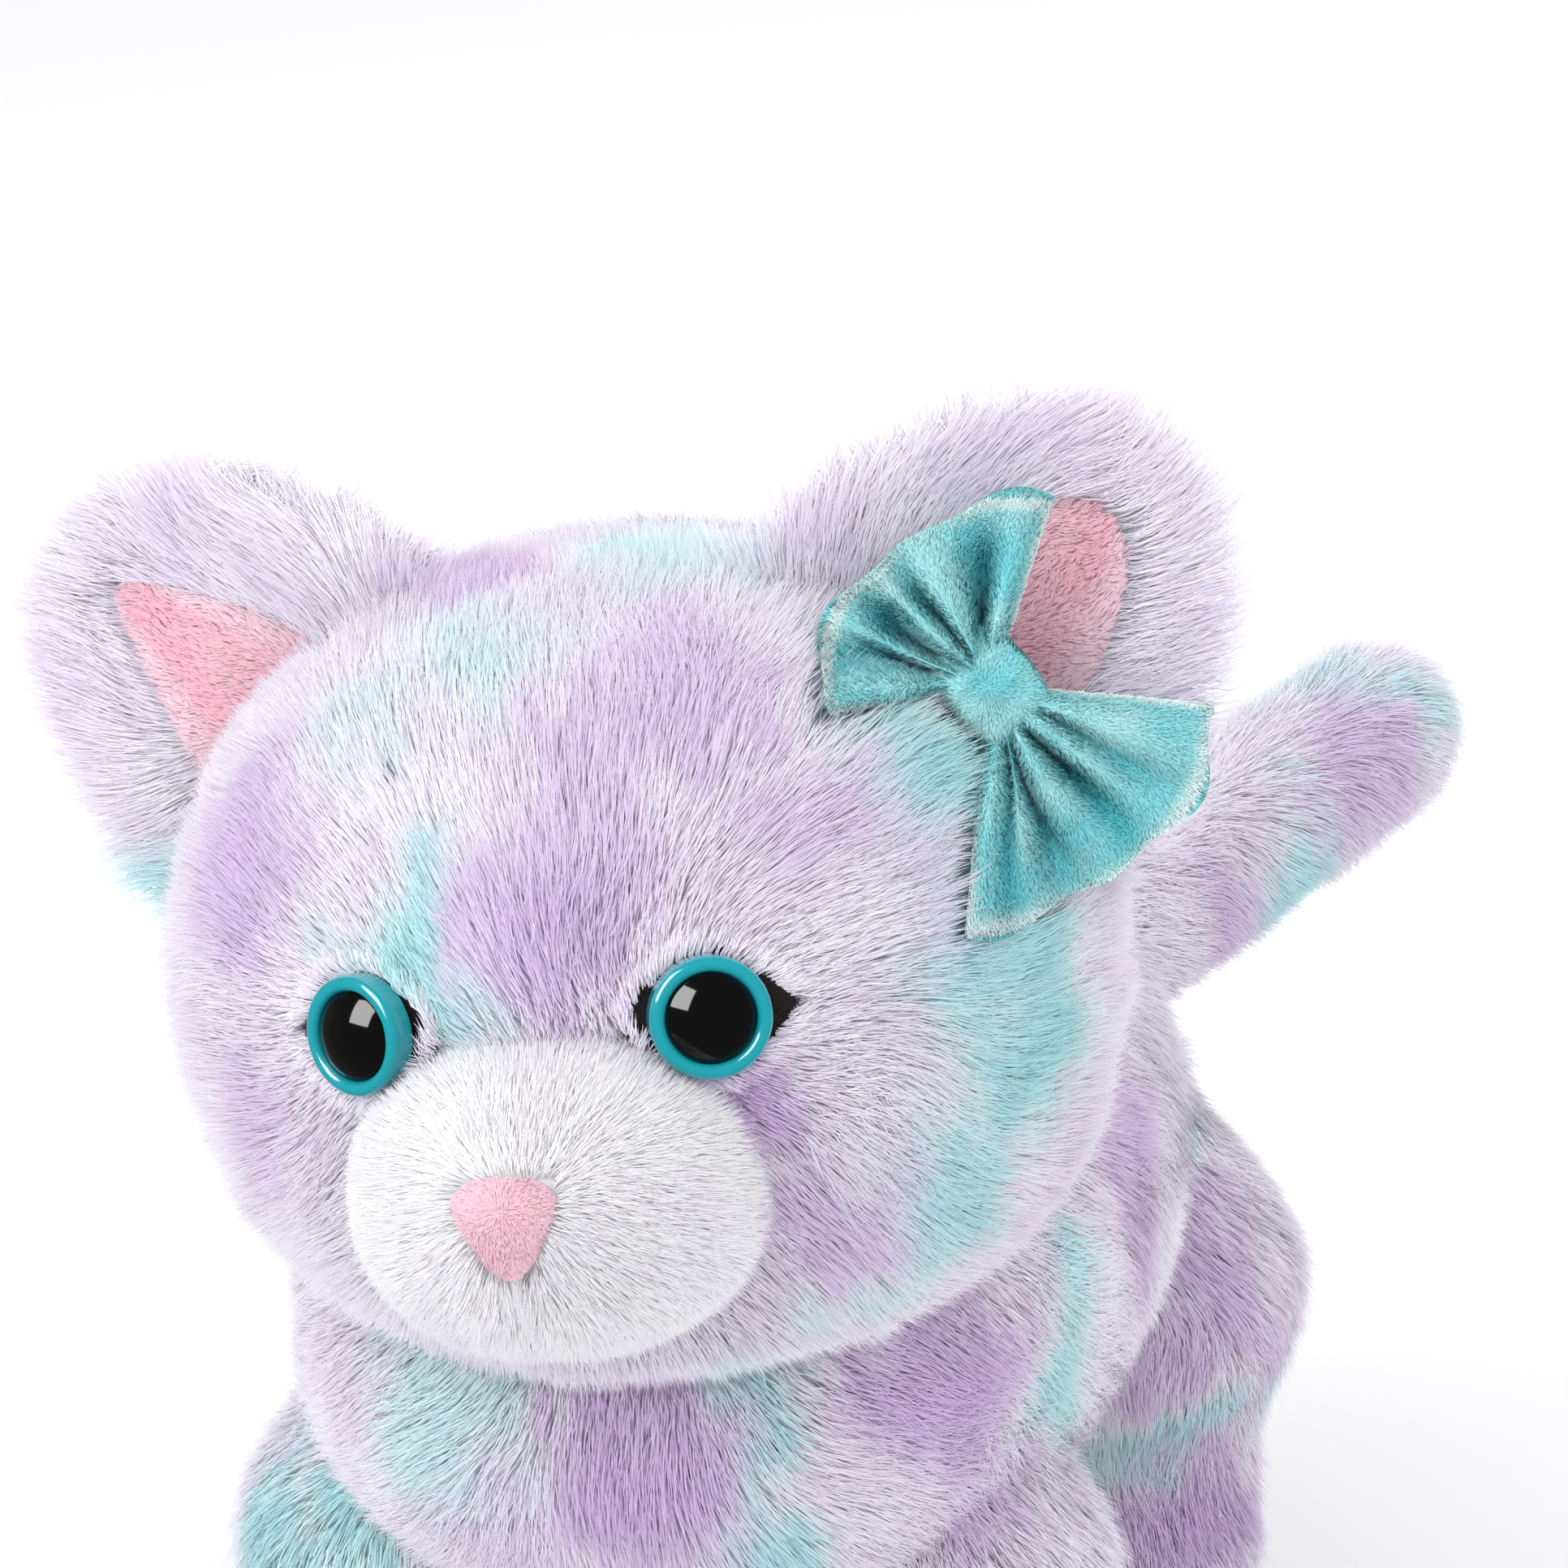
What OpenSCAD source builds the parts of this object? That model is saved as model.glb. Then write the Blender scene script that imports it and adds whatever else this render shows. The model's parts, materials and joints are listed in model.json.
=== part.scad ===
// Interactive plush kitten that stands on four legs, turns its head and wags its tail.
// The kitten faces -Y, its left side is +X, and the soles stand on z = 0.

/* [Head] */
// Width of the head
head_w = 138; // [120:1:160]
// Depth of the head from face to nape
head_d = 124; // [110:1:140]
// Height of the head from chin to crown
head_h = 122; // [110:1:140]
// Height of the head's middle above the floor
head_z = 182; // [176:1:200]
// How far the face looks up, in degrees
face_lift = 5; // [0:1:10]
// How far the head leans towards the kitten's right, in degrees
head_tilt = 8.5; // [0:0.5:10]
// Squareness of the head, 2 for an ellipsoid
head_full = 2.2; // [2:0.1:2.8]

/* [Face] */
// Diameter of an eye ring
eye_d = 18; // [14:0.5:21]
// Diameter of a pupil
pupil_d = 13; // [9:0.5:13]
// Angle of each eye to the side of the face
eye_yaw = 24; // [20:1:30]
// Angle of the eyes above the head's middle
eye_up = 4.5; // [2:0.5:12]
// Length of an eye stem
stem_len = 14; // [10:1:18]
// Diameter of an eye stem
stem_d = 4.8; // [4:0.2:6]
// Diameter of a lock washer
washer_d = 14; // [10:1:16]
// Length of a felt patch from corner to corner
felt_len = 26; // [24:0.5:32]
// Height of a felt patch
felt_h = 20; // [19:0.5:23]
// Thickness of the felt
felt_t = 0.8; // [0.6:0.1:1.2]
// Width of the muzzle
muzzle_w = 60; // [50:1:66]
// Height of the muzzle
muzzle_h = 47; // [40:1:54]
// Depth of the muzzle
muzzle_d = 56; // [48:1:60]
// How far the muzzle's middle lies below the head's middle
muzzle_drop = 20; // [14:1:26]
// How far the muzzle's middle lies ahead of the head's middle
muzzle_out = 56; // [48:1:60]
// Width of the nose
nose_w = 16; // [12:0.5:20]
// Height of the nose
nose_h = 15; // [12:0.5:18]
// Angle of the nose above the muzzle's middle
nose_up = 5; // [0:1:20]

/* [Ears and bow] */
// Width of an ear at its base
ear_w = 70; // [58:1:78]
// Length of an ear from its root inside the head
ear_len = 68; // [58:1:76]
// Thickness of an ear
ear_t = 13; // [10:0.5:18]
// Angle of an ear's base around the head from its crown
ear_place = 54; // [46:1:58]
// Angle of an ear away from upright
ear_splay = 47; // [38:1:54]
// How far an ear's edges bend forwards
ear_cup = 9; // [4:0.5:14]
// Width of an ear lining
lining_w = 36; // [28:1:42]
// Length of an ear lining
lining_len = 40; // [30:1:46]
// Thickness of an ear lining
lining_t = 3; // [2:0.5:4]
// Length of each bow loop
loop_len = 29; // [24:1:38]
// Width of a bow loop at its open end
loop_w = 36; // [28:1:42]
// Thickness of a bow loop
loop_t = 9; // [6:0.5:12]
// Number of pleats across a bow loop
loop_pleats = 4; // [2:1:6]
// Length of the bow knot
knot_len = 13; // [10:0.5:16]

/* [Body] */
// Length of the body from chest to rump
body_len = 212; // [200:1:230]
// Width of the body at the chest
chest_w = 130; // [120:1:136]
// Width of the body at the hips
hip_w = 132; // [120:1:140]
// Height of the body from belly to back
body_h = 90; // [86:1:100]
// Height of the body's middle above the floor
body_z = 114; // [112:0.5:118]

/* [Legs] */
// Distance of a foreleg from the middle plane
fore_x = 41; // [38:0.5:44]
// Distance of the forelegs ahead of the body's middle
fore_ahead = 56; // [52:1:60]
// Width of a foreleg at the shoulder
fore_w = 58; // [50:1:62]
// Distance of a hind leg from the middle plane
hind_x = 49; // [46:0.5:52]
// Distance of the hind legs behind the body's middle
hind_behind = 72; // [68:1:76]
// Width of a hind leg at the thigh
hind_w = 64; // [58:1:68]
// Width of a leg above the paw
ankle_w = 50; // [46:1:54]
// Width of a paw
paw_w = 52; // [48:1:58]
// Length of a paw
paw_len = 62; // [56:1:70]
// Height of a paw
paw_h = 34; // [28:1:40]

/* [Tail] */
// Distance of the tail pivot behind the body's middle
tail_pivot = 60; // [58:1:64]
// Distance of the tail's root from its pivot
tail_root = 47; // [44:0.5:52]
// Length of the tail beyond its root
tail_len = 108; // [90:1:120]
// Thickness of the tail at its root
tail_d = 29; // [24:0.5:34]
// Thickness of the tail near its tip
tail_tip_d = 25; // [18:0.5:28]
// Height of the tail's root above the floor
tail_z = 120; // [118:1:126]
// Slope of the tail above level
tail_rise = 17; // [8:1:24]
// Resting angle of the tail towards the kitten's left
tail_rest = 34; // [20:1:36]

/* [Drive] */
// Gear module
gear_module = 1; // [0.9:0.05:1.05]
// Teeth of the neck gear and the tail gear
gear_teeth = 24; // [22:1:25]
// Teeth of a pinion
pinion_teeth = 12; // [12:1:14]
// Thickness of a gear
gear_t = 5; // [4:0.5:5.5]
// Backlash at the pitch circle
backlash = 0.25; // [0.2:0.01:0.35]
// Distance of the neck shaft ahead of the body's middle
neck_ahead = 72; // [70:1:76]
// Diameter of the neck shaft in its collar
neck_d = 16; // [14:0.5:17]
// Diameter of the neck shaft's ends
neck_end_d = 10; // [9:0.5:11]
// Bore of the neck shaft
neck_bore = 6; // [4:0.5:7]
// Width of a gear motor
motor_w = 12; // [10:0.5:14]
// Depth of a gear motor
motor_d = 10; // [8:0.5:12]
// Height of a gear motor
motor_h = 22; // [18:0.5:22.5]
// Diameter of a gear motor's shaft
motor_shaft_d = 3; // [2:0.2:4]
// Diameter of the tail pivot pin
pivot_d = 5; // [4:0.2:6]
// Width of the tail lever's arm
arm_w = 8; // [6:0.5:9]

/* [Chassis] */
// Width of the chassis
chassis_w = 58; // [56:0.5:60]
// Height of the chassis floor's underside
floor_z = 79; // [78.5:0.1:79.5]
// Thickness of the chassis floor
floor_t = 2.5; // [2.4:0.1:3]
// Height of the chassis
chassis_h = 37.5; // [37:0.1:38.5]
// Wall of the chassis
wall = 2; // [1.6:0.1:2.4]
// Diameter of a leg strut
strut_d = 10; // [8:0.5:12]
// Diameter of a foot plate
foot_d = 34; // [28:1:38]
// Thickness of a foot plate
foot_t = 3; // [2:0.5:4]
// Diameter of a chassis screw's shank
screw_d = 2.8; // [2.4:0.1:3.2]

/* [Power] */
// Diameter of a battery cell
cell_d = 14.5; // [14:0.1:14.6]
// Length of a battery cell
cell_len = 50.5; // [48:0.5:51]
// Thickness of the battery door
door_t = 1.5; // [1.2:0.1:1.6]
// Diameter of the speaker
speaker_d = 36; // [28:1:40]
// Height of the speaker
speaker_h = 8; // [6:0.5:9]
// Travel of the power switch knob
switch_travel = 4; // [2:0.5:5]
// Travel of the pat button
pat_travel = 1.5; // [1:0.1:2]
// Diameter of the pat button's cap
pat_d = 24; // [18:1:30]

/* [Clearances] */
// Radial gap of a running fit
run_gap = 0.05; // [0.03:0.01:0.1]
// Gap between a soft piece and what it covers
fabric_gap = 0.5; // [0.4:0.05:0.7]
// Gap between soft pieces sewn side by side
seam_gap = 0.25; // [0.2:0.05:0.4]
// Gap between the turning head and the body
head_gap = 1; // [0.6:0.1:1.5]
// Gap around the tail where it swings
tail_gap = 1; // [0.6:0.1:1.5]
// Gap around a sliding or loosely fitted piece
slide_gap = 0.2; // [0.15:0.05:0.3]

/* [Hidden] */
$fn = 48;

// Colours
lilac = "thistle";
pink = "lightpink";
teal = "darkcyan";
velvet = "mediumturquoise";
shell_grey = "gainsboro";
steel = "silver";

// Soft form resolution
ring_points = 24;
small_ring_points = 16;
soft_fn = 16;

// Overlap of forms that grow out of one another, and overrun of cuts
sunk = 0.5;
over = 1;

// Places along the body
neck_y = -neck_ahead;
fore_y = -fore_ahead;
hind_y = hind_behind;
tail_y = tail_pivot;

// Chassis levels
split_h = 18;
roof_t = 2.5;
collar_h = 8;
collar_rise = 2;
collar_wall = 3;
floor_top = floor_z + floor_t;
split_z = floor_z + split_h;
roof_top = floor_z + chassis_h;
roof_z = roof_top - roof_t;
collar_z = roof_top + collar_rise - collar_h;
collar_d = neck_d + 2 * collar_wall;

// Gear train
pitch_r = gear_module * gear_teeth / 2;
pinion_r = gear_module * pinion_teeth / 2;
gear_centres = pitch_r + pinion_r;
addendum = 0.85;
dedendum = 1.15;
tooth_tip = addendum * gear_module;
tooth_root = dedendum * gear_module;
pressure = 25;
flank_steps = 4;
gear_drop = 9;
gear_z = roof_z - gear_drop;
pinion_over = 0.5;
head_motor_y = neck_y + gear_centres;
tail_motor_y = tail_y - gear_centres;
motor_top = floor_top + motor_h;
shaft_sunk = 6;

// Chassis plan
nose_gap = 1.2;
nose_r = pitch_r + tooth_tip + nose_gap + wall;
nose_out = 10;
nose_neck = 16;
box_front = neck_y + nose_out;
box_back = tail_y - nose_out;
box_corner = 5;

// Battery bay
contact_room = 4.5;
cell_gap = 0.8;
cell_rise = 0.25;
bay_side = 1.5;
bay_over = 1;
bay_roof = 1.5;
bay_y = -8;
cell_pitch = cell_d + cell_gap;
cell_z = floor_z + door_t + cell_rise + cell_d / 2;
bay_w = 2 * (cell_d + bay_side);
bay_len = cell_len + 2 * contact_room;
bay_top = floor_z + door_t + cell_d + bay_over;
door_rim = 4;
door_corner = 3;
door_drop = 25;
door_screw_room = 8;
door_screw_in = 1;
door_w = bay_w + 2 * door_rim;
door_len = bay_len + 2 * door_rim + door_screw_room;
door_y = bay_y + door_screw_room / 2;
door_screw_y = bay_y + bay_len / 2 + door_rim + door_screw_room / 2 - door_screw_in;
window_rim = 2;
corridor_room = 1.5;
corridor_corner = 4;

// Fasteners
screw_head_d = 5.5;
screw_head_h = 1.6;
screw_post_d = 8;
screw_bite = 11;
screw_in = 5.6;
screw_end = 8;
screw_places = [for (x = [-1, 1], y = [box_front + screw_end, box_back - screw_end])
    [x * (chassis_w / 2 - screw_in), y]];
door_post_d = 7;
door_post_h = 10;
door_screw_len = 8;

// Power switch
switch_in = 5.5;
switch_x = chassis_w / 2 - switch_in;
switch_y = bay_y;
switch_size = [6, 13, 6];
knob_w = 3;
knob_len = 4;
knob_out = 1.2;
knob_in = 2.5;
knob_room = 0.2;

// Circuit board and speaker
board_size = [42, 40, 1.6];
board_post_d = 4;
board_post_h = 2.5;
board_post_side = 2;
board_post_end = 4;
board_z = bay_top + bay_roof + board_post_h;
board_y = bay_y;
speaker_y = bay_y;

// Leg struts
strut_step = 2.5;
strut_collar_d = strut_d + 2 * strut_step;
strut_collar_h = 2;
lug_wall = 4;
lug_d = strut_d + 2 * lug_wall;
lug_h = 14;
lug_arm_w = 10;
lug_bite = 6;
lug_z = split_z - lug_h;
foot_z = 9;
fore_strut = [fore_x, fore_y];
hind_in = 4;
hind_strut = [hind_x - hind_in, hind_y];

// Neck
boss_h = 8.5;
boss_wall = 3;
boss_top = floor_top + boss_h;
shoulder_up = 7.5;
shoulder_z = roof_top + collar_rise + shoulder_up;
core_foot = 19;
core_base_z = head_z - head_h / 2 + core_foot;
hub_wall = 2;
hub_d = neck_d + 2 * hub_wall;
hub_in = 6;
hub_h = core_base_z + hub_in - shoulder_z;
clip_t = 1.2;
clip_mouth = 0.8;
groove_deep = 0.8;
groove_d = neck_end_d - 2 * groove_deep;
shaft_foot = 0.5;
shaft_over = 3;
shaft_top = shoulder_z + hub_h + clip_t + shaft_over;

// Hollow in the body that the head turns in
dish_size = [head_w + 4 * head_gap, (head_w + head_d) / 2 + 5 * head_gap, head_h + 4 * head_gap];

// Head core
core_r = 33;
core_cover = 23;
core_half_h = head_h / 2 - core_cover;
core_drop = 8;
core_z = head_z - core_drop;
core_wall = 2.5;
core_base_t = 3;
core_top = core_z + core_half_h;
arc_steps = 12;
core_room = 3 * fabric_gap;
room_steps = 8;

// Pat button
pat_cap_t = 4;
pat_stem_d = 8;
pat_boss_d = 18;
pat_boss_h = 16;
pat_switch_w = 6.5;
pat_switch_h = 4.5;
pat_tip_d = 3.4;
pat_tip_h = 2;
pat_pocket_room = 0.5;
pat_pocket_h = pat_switch_h + pat_pocket_room;
pat_boss_drop = 2.2;
pat_boss_z = core_top - pat_boss_drop - pat_boss_h;
pat_tip_z = pat_boss_z + pat_pocket_h + pat_tip_h;
pat_play = 0.1;
pat_stem_z = pat_tip_z + pat_travel + pat_play;
pat_rise = 9;
pat_well = 4;
pat_cap_z = core_top + pat_travel + pat_rise;

// Tail lever
hub_rise = 6.5;
hub_z = floor_top + hub_rise;
hub_over = 1.5;
hub_play = 0.2;
pin_sunk = 1;
tail_hub_wall = 3;
tail_hub_d = pivot_d + 2 * tail_hub_wall;
arm_h = 6;
arm_gap = 0.5;
arm_z = gear_z - arm_h - arm_gap;
post_r = 4;
post_in = 11;
post_at = tail_root - post_in;
rod_r = 3;
rod_share = 0.62;
sweep_room = 22;
sweep_in = 0.7;
arm_sweep = tail_rest + sweep_room;

// Ears and bow
ear_in = 21;
ear_sunk = (head_w + head_h) / 4 - ear_in;
ear_turn = 8;
ear_back = 6;
lining_up = 18;
lining_proud = 0.6;
bow_place = 56;
bow_over = 6;
bow_out = head_w / 2 + bow_over;
bow_ahead = 13;
bow_lean = 12;
knot_h = 12;
knot_more = 3;
knot_full = 3;

// Legs
fore_deep = 6;
hind_deep = 12;
hind_up = 4;
hind_lean = -4;

// Eyes and muzzle
muzzle_full = 2.2;
eye_lift = 0.1;
eye_back = felt_t + eye_lift;
ring_plate = 1.6;
ring_rim = 4;
pupil_h = 4.2;
washer_t = 1.5;
washer_back = 6.5;

// The nose, the tail tip and the right ear set the middle of the part's box
nose_t = 5;
front_y = neck_y - muzzle_reach(nose_up) - nose_t / 2;
back_y = tail_y + (tail_root + tail_len) * cos(tail_rest);
tail_side = (tail_root + tail_len) * sin(tail_rest);
ear_side = ear_sunk * sin(ear_place + head_tilt) + ear_len * sin(ear_splay + head_tilt);
centre = [(ear_side - tail_side) / 2, -(front_y + back_y) / 2];

// Smooth steps and superellipses
function lerp(a, b, t) = a + (b - a) * t;
function ease(t) = (1 - cos(180 * t)) / 2;
function rounded(a, n) = sign(a) * pow(abs(a), 2 / n);
function flatten(lists) = [for (l = lists) each l];
function eased(z, table, i = 0) =
    z <= table[i + 1][0] || i == len(table) - 2
        ? lerp(table[i][1], table[i + 1][1], ease((z - table[i][0]) / (table[i + 1][0] - table[i][0])))
        : eased(z, table, i + 1);

// Distance from the middle of a superellipsoid to its surface along a direction
function reach(size, n, d) =
    let (a = norm([2 * d[0] / size[0], 2 * d[1] / size[1]]), b = abs(2 * d[2] / size[2]))
    1 / pow(pow(a, n) + pow(b, n), 1 / n);
function aim(yaw, up) = [sin(yaw) * cos(up), -cos(yaw) * cos(up), sin(up)];
function head_size(grow = 0) = [head_w + 2 * grow, head_d + 2 * grow, head_h + 2 * grow];
function head_reach(yaw, up) = reach(head_size(), head_full, aim(yaw, up));
function muzzle_size(grow = 0) = [muzzle_w + 2 * grow, muzzle_d + 2 * grow, muzzle_h + 2 * grow];
function muzzle_reach(up) =
    let (out = reach(muzzle_size(), muzzle_full, aim(0, up)))
    muzzle_out * cos(face_lift) + muzzle_drop * sin(face_lift) + out * cos(up + face_lift);

// Triangles that close a stack of rings with a pole at each end
function skin_faces(m, n) = concat(
    [for (j = [0:n - 1]) [0, 1 + (j + 1) % n, 1 + j]],
    [for (i = [0:m - 2], j = [0:n - 1])
        each let (a = 1 + i * n + j, b = 1 + i * n + (j + 1) % n) [[a, b, b + n], [a, b + n, a + n]]],
    [for (j = [0:n - 1]) [1 + m * n, 1 + (m - 1) * n + j, 1 + (m - 1) * n + (j + 1) % n]]);

module skin(start, rings, end) {
    polyhedron(
        points = concat([start], flatten(rings), [end]),
        faces = skin_faces(len(rings), len(rings[0])));
}

// A soft piece and its cuts as one mesh at its own size
module soft() {
    $fn = soft_fn;
    resize([0, 0, 0]) difference() {
        children(0);
        if ($children > 1) children([1:$children - 1]);
    }
}

// Puts a piece that is drawn from the body's middle into the part's frame
module placed() {
    translate([centre[0], centre[1], 0]) children();
}

module superellipsoid(size, n, rings = 12, points = ring_points) {
    at = function (up, turn)
        let (d = [cos(up) * cos(turn), cos(up) * sin(turn), sin(up)]) reach(size, n, d) * d;
    skin(
        at(-90, 0),
        [for (i = [1:rings]) [for (j = [0:points - 1]) at(-90 + 180 * i / (rings + 1), -360 * j / points)]],
        at(90, 0));
}

// Frame of the head, with the face along -Y
module in_head() {
    translate([0, neck_y, head_z]) rotate([0, -head_tilt, 0]) rotate([-face_lift, 0, 0]) children();
}

module head_form(grow = 0) {
    in_head() superellipsoid(head_size(grow), head_full);
}

module muzzle_form(grow = 0) {
    in_head() translate([0, -muzzle_out, -muzzle_drop])
        superellipsoid(muzzle_size(grow), muzzle_full, 10, small_ring_points);
}

// Frame of an eye on the head's surface, with +Z outwards
module at_eye(side) {
    in_head() rotate([0, 0, side * eye_yaw]) rotate([-eye_up, 0, 0])
        translate([0, -head_reach(eye_yaw, eye_up), 0]) rotate([90, 0, 0]) children();
}

module body_form(grow = 0) {
    rings = 12;
    fullness = 0.62;
    squareness = 2.5;
    half = body_len / 2 + grow;
    ring = function (t)
        let (e = pow(sin(180 * t), fullness),
             w = (lerp(chest_w, hip_w, ease(t)) / 2 + grow) * e,
             h = (body_h / 2 + grow) * e)
        [for (j = [0:ring_points - 1])
            let (a = 360 * j / ring_points)
            [w * rounded(cos(a), squareness),
             -half * cos(180 * t),
             body_z + h * rounded(sin(a), squareness)]];
    skin(
        [0, -half, body_z],
        [for (i = [1:rings]) ring(i / (rings + 1))],
        [0, half, body_z]);
}

// A leg that swells at the top, narrows above the paw and stands on a flat sole
module leg_form(top_w, top_len, top_z, lean) {
    rings = 9;
    sole = 0.86;
    top = 0.3;
    paw_z = 0.4 * paw_h;
    ankle_z = 1.3 * paw_h;
    thigh_z = 0.64 * top_z;
    toe = (paw_len - ankle_w) / 2;
    taper = function (paw, thigh)
        [[0, paw * sole], [paw_z, paw], [ankle_z, ankle_w], [thigh_z, thigh], [top_z, thigh * top]];
    width = taper(paw_w, top_w);
    depth = taper(paw_len, top_len);
    middle = [[0, -toe], [paw_z, -toe], [ankle_z, 0], [top_z, lean]];
    ring = function (z)
        [for (j = [0:small_ring_points - 1])
            let (a = 360 * j / small_ring_points)
            [eased(z, width) / 2 * cos(a), eased(z, middle) - eased(z, depth) / 2 * sin(a), z]];
    skin([0, -toe, 0], [for (i = [0:rings]) ring(top_z * i / rings)], [0, lean, top_z]);
}

module foreleg_form() {
    translate([fore_x, fore_y, 0]) leg_form(fore_w, fore_w + fore_deep, body_z, 0);
}

module hindleg_form() {
    translate([hind_x, hind_y, 0]) leg_form(hind_w, hind_w + hind_deep, body_z + hind_up, hind_lean);
}

// An ear stands along +Z with its edges bent towards -Y
module ear_form(w, len, t, cup_w, forward, grow = 0) {
    rings = 7;
    tip = 2.4;
    blunt = 0.55;
    thin = 0.5;
    last = 0.97;
    half = function (s) (w / 2 + grow) * pow(1 - pow(s, tip), blunt);
    thick = function (s) (t / 2 + grow) * pow(1 - pow(s, tip), thin);
    bend = function (x) -ear_cup * pow(2 * x / cup_w, 2) - forward;
    ring = function (s)
        [for (j = [0:small_ring_points - 1])
            let (a = 360 * j / small_ring_points, x = half(s) * cos(a))
            [x, bend(x) - thick(s) * sin(a), s * (len + grow)]];
    skin([0, bend(0), 0], [for (i = [0:rings]) ring(last * i / rings)], [0, bend(0), len + grow]);
}

// Frame of an ear, with its root inside the head
module at_ear(side) {
    in_head() rotate([0, side * ear_place, 0]) translate([0, ear_back, ear_sunk])
        rotate([0, side * (ear_splay - ear_place), 0]) rotate([0, 0, side * ear_turn]) children();
}

module lining_form(side, grow = 0) {
    at_ear(side) translate([0, 0, lining_up])
        ear_form(lining_w, lining_len, lining_t, ear_w, ear_t / 2 - lining_t / 2 + lining_proud, grow);
}

// Frame of the bow in front of the left ear, with its loops along X
module at_bow() {
    in_head() rotate([0, bow_place, 0]) translate([0, -bow_ahead, bow_out])
        rotate([-bow_lean, 0, 0]) children();
}

// Half of the bow: a loop that flares from the knot and folds into pleats
module loop_form() {
    rings = 5;
    points = 24;
    waist = 9;
    flare = 1.25;
    lip = 0.97;
    belly = 0.25;
    fold_deep = 1.3;
    fullness = 2.6;
    root = knot_len / 2 + seam_gap;
    half = function (s) lerp(waist, loop_w, ease(min(1, s * flare))) / 2 * (s < 1 ? 1 : lip);
    thick = function (s) loop_t / 2 * (1 - belly + belly * sin(180 * s));
    fold = function (s, z) fold_deep * s * cos(360 * loop_pleats * z / loop_w);
    ring = function (s)
        [for (j = [0:points - 1])
            let (a = 360 * j / points, z = half(s) * rounded(cos(a), fullness))
            [root + s * (loop_len - root), thick(s) * rounded(sin(a), fullness) + fold(s, z), z]];
    skin([root, 0, 0], [for (i = [0:rings]) ring(i / rings)], [loop_len, 0, 0]);
}

// Involute spur gear with its bore, standing on z = 0
function gear_angle(r, base, teeth) =
    let (a = acos(min(1, base / r)), p = pressure)
    90 / teeth - backlash / (gear_module * teeth) * 90 / PI
        + (tan(p) - p * PI / 180 - tan(a) + a * PI / 180) * 180 / PI;
function gear_points(teeth) =
    let (pitch = gear_module * teeth / 2, base = pitch * cos(pressure),
         root = pitch - tooth_root, low = max(base, root), tip = pitch + tooth_tip,
         flank = [for (k = [0:flank_steps]) lerp(low, tip, k / flank_steps)])
    [for (i = [0:teeth - 1])
        let (mid = 360 * i / teeth)
        each concat(
            [[root, mid - gear_angle(low, base, teeth)]],
            [for (k = [0:flank_steps]) [flank[k], mid - gear_angle(flank[k], base, teeth)]],
            [for (k = [flank_steps:-1:0]) [flank[k], mid + gear_angle(flank[k], base, teeth)]],
            [[root, mid + gear_angle(low, base, teeth)]])];

module gear(teeth, h) {
    linear_extrude(h)
        polygon([for (p = gear_points(teeth)) [p[0] * cos(p[1]), p[0] * sin(p[1])]]);
}

module rounded_plan(size, r) {
    square([size[0] - 2 * r, size[1]], center = true);
    square([size[0], size[1] - 2 * r], center = true);
    for (x = [-1, 1], y = [-1, 1])
        translate([x * (size[0] / 2 - r), y * (size[1] / 2 - r)]) circle(r);
}

// Plan of the chassis: a box with a narrow nose around each shaft
module chassis_plan(grow = 0) {
    translate([0, (box_front + box_back) / 2])
        rounded_plan([chassis_w + 2 * grow, box_back - box_front + 2 * grow], box_corner + grow);
    for (y = [neck_y, tail_y]) {
        translate([0, y]) circle(nose_r + grow);
        translate([0, y - sign(y) * nose_neck / 2]) square([2 * (nose_r + grow), nose_neck], center = true);
    }
}

module chassis_block(z0, z1, grow = 0) {
    translate([0, 0, z0]) linear_extrude(z1 - z0) chassis_plan(grow);
}

// Lugs that hold the leg struts, with arms to the chassis walls
module lugs() {
    for (side = [-1, 1], place = [fore_strut, hind_strut]) {
        translate([side * place[0], place[1], lug_z]) cylinder(d = lug_d, h = lug_h);
        reach_in = place == fore_strut ? chassis_w / 2 - wall : nose_r - lug_bite;
        arm = place[0] - reach_in;
        translate([side * (reach_in + arm / 2), place[1], lug_z + lug_h / 2])
            cube([arm, lug_arm_w, lug_h], center = true);
    }
}

// Room in the body around each lug, its arm and the strut below it
module lug_rooms() {
    deep = 2 * lug_h;
    for (side = [-1, 1], place = [fore_strut, hind_strut]) {
        outer = place[0] + lug_d / 2 + fabric_gap;
        translate([side * outer / 2, place[1], split_z + fabric_gap - deep / 2])
            cube([outer, lug_d + 2 * fabric_gap, deep], center = true);
    }
}

// Room in a leg around its strut, the lug that holds it and the lug's arm
module strut_room(place) {
    translate([place[0], place[1], 0]) {
        translate([0, 0, foot_z - fabric_gap])
            cylinder(d = foot_d + 2 * fabric_gap, h = foot_t + 2 * fabric_gap);
        translate([0, 0, foot_z]) cylinder(d = strut_collar_d + 2 * fabric_gap, h = split_z - foot_z);
        translate([0, 0, lug_z - fabric_gap]) linear_extrude(lug_h + 2 * fabric_gap) {
            circle(d = lug_d + 2 * fabric_gap);
            translate([-lug_d / 2, 0]) square([lug_d, lug_arm_w + 2 * fabric_gap], center = true);
        }
    }
}

module strut_form(side, place) {
    translate([side * place[0], place[1], 0]) {
        translate([0, 0, foot_z]) cylinder(d = foot_d, h = foot_t);
        translate([0, 0, foot_z]) cylinder(d = strut_d, h = split_z - foot_z);
        translate([0, 0, lug_z - strut_collar_h]) cylinder(d = strut_collar_d, h = strut_collar_h);
    }
}

// Middle line of the tail, as distance from the pivot and height
function tail_line(s) = [tail_root + s * tail_len, tail_z + s * tail_len * tan(tail_rise)];

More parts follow.
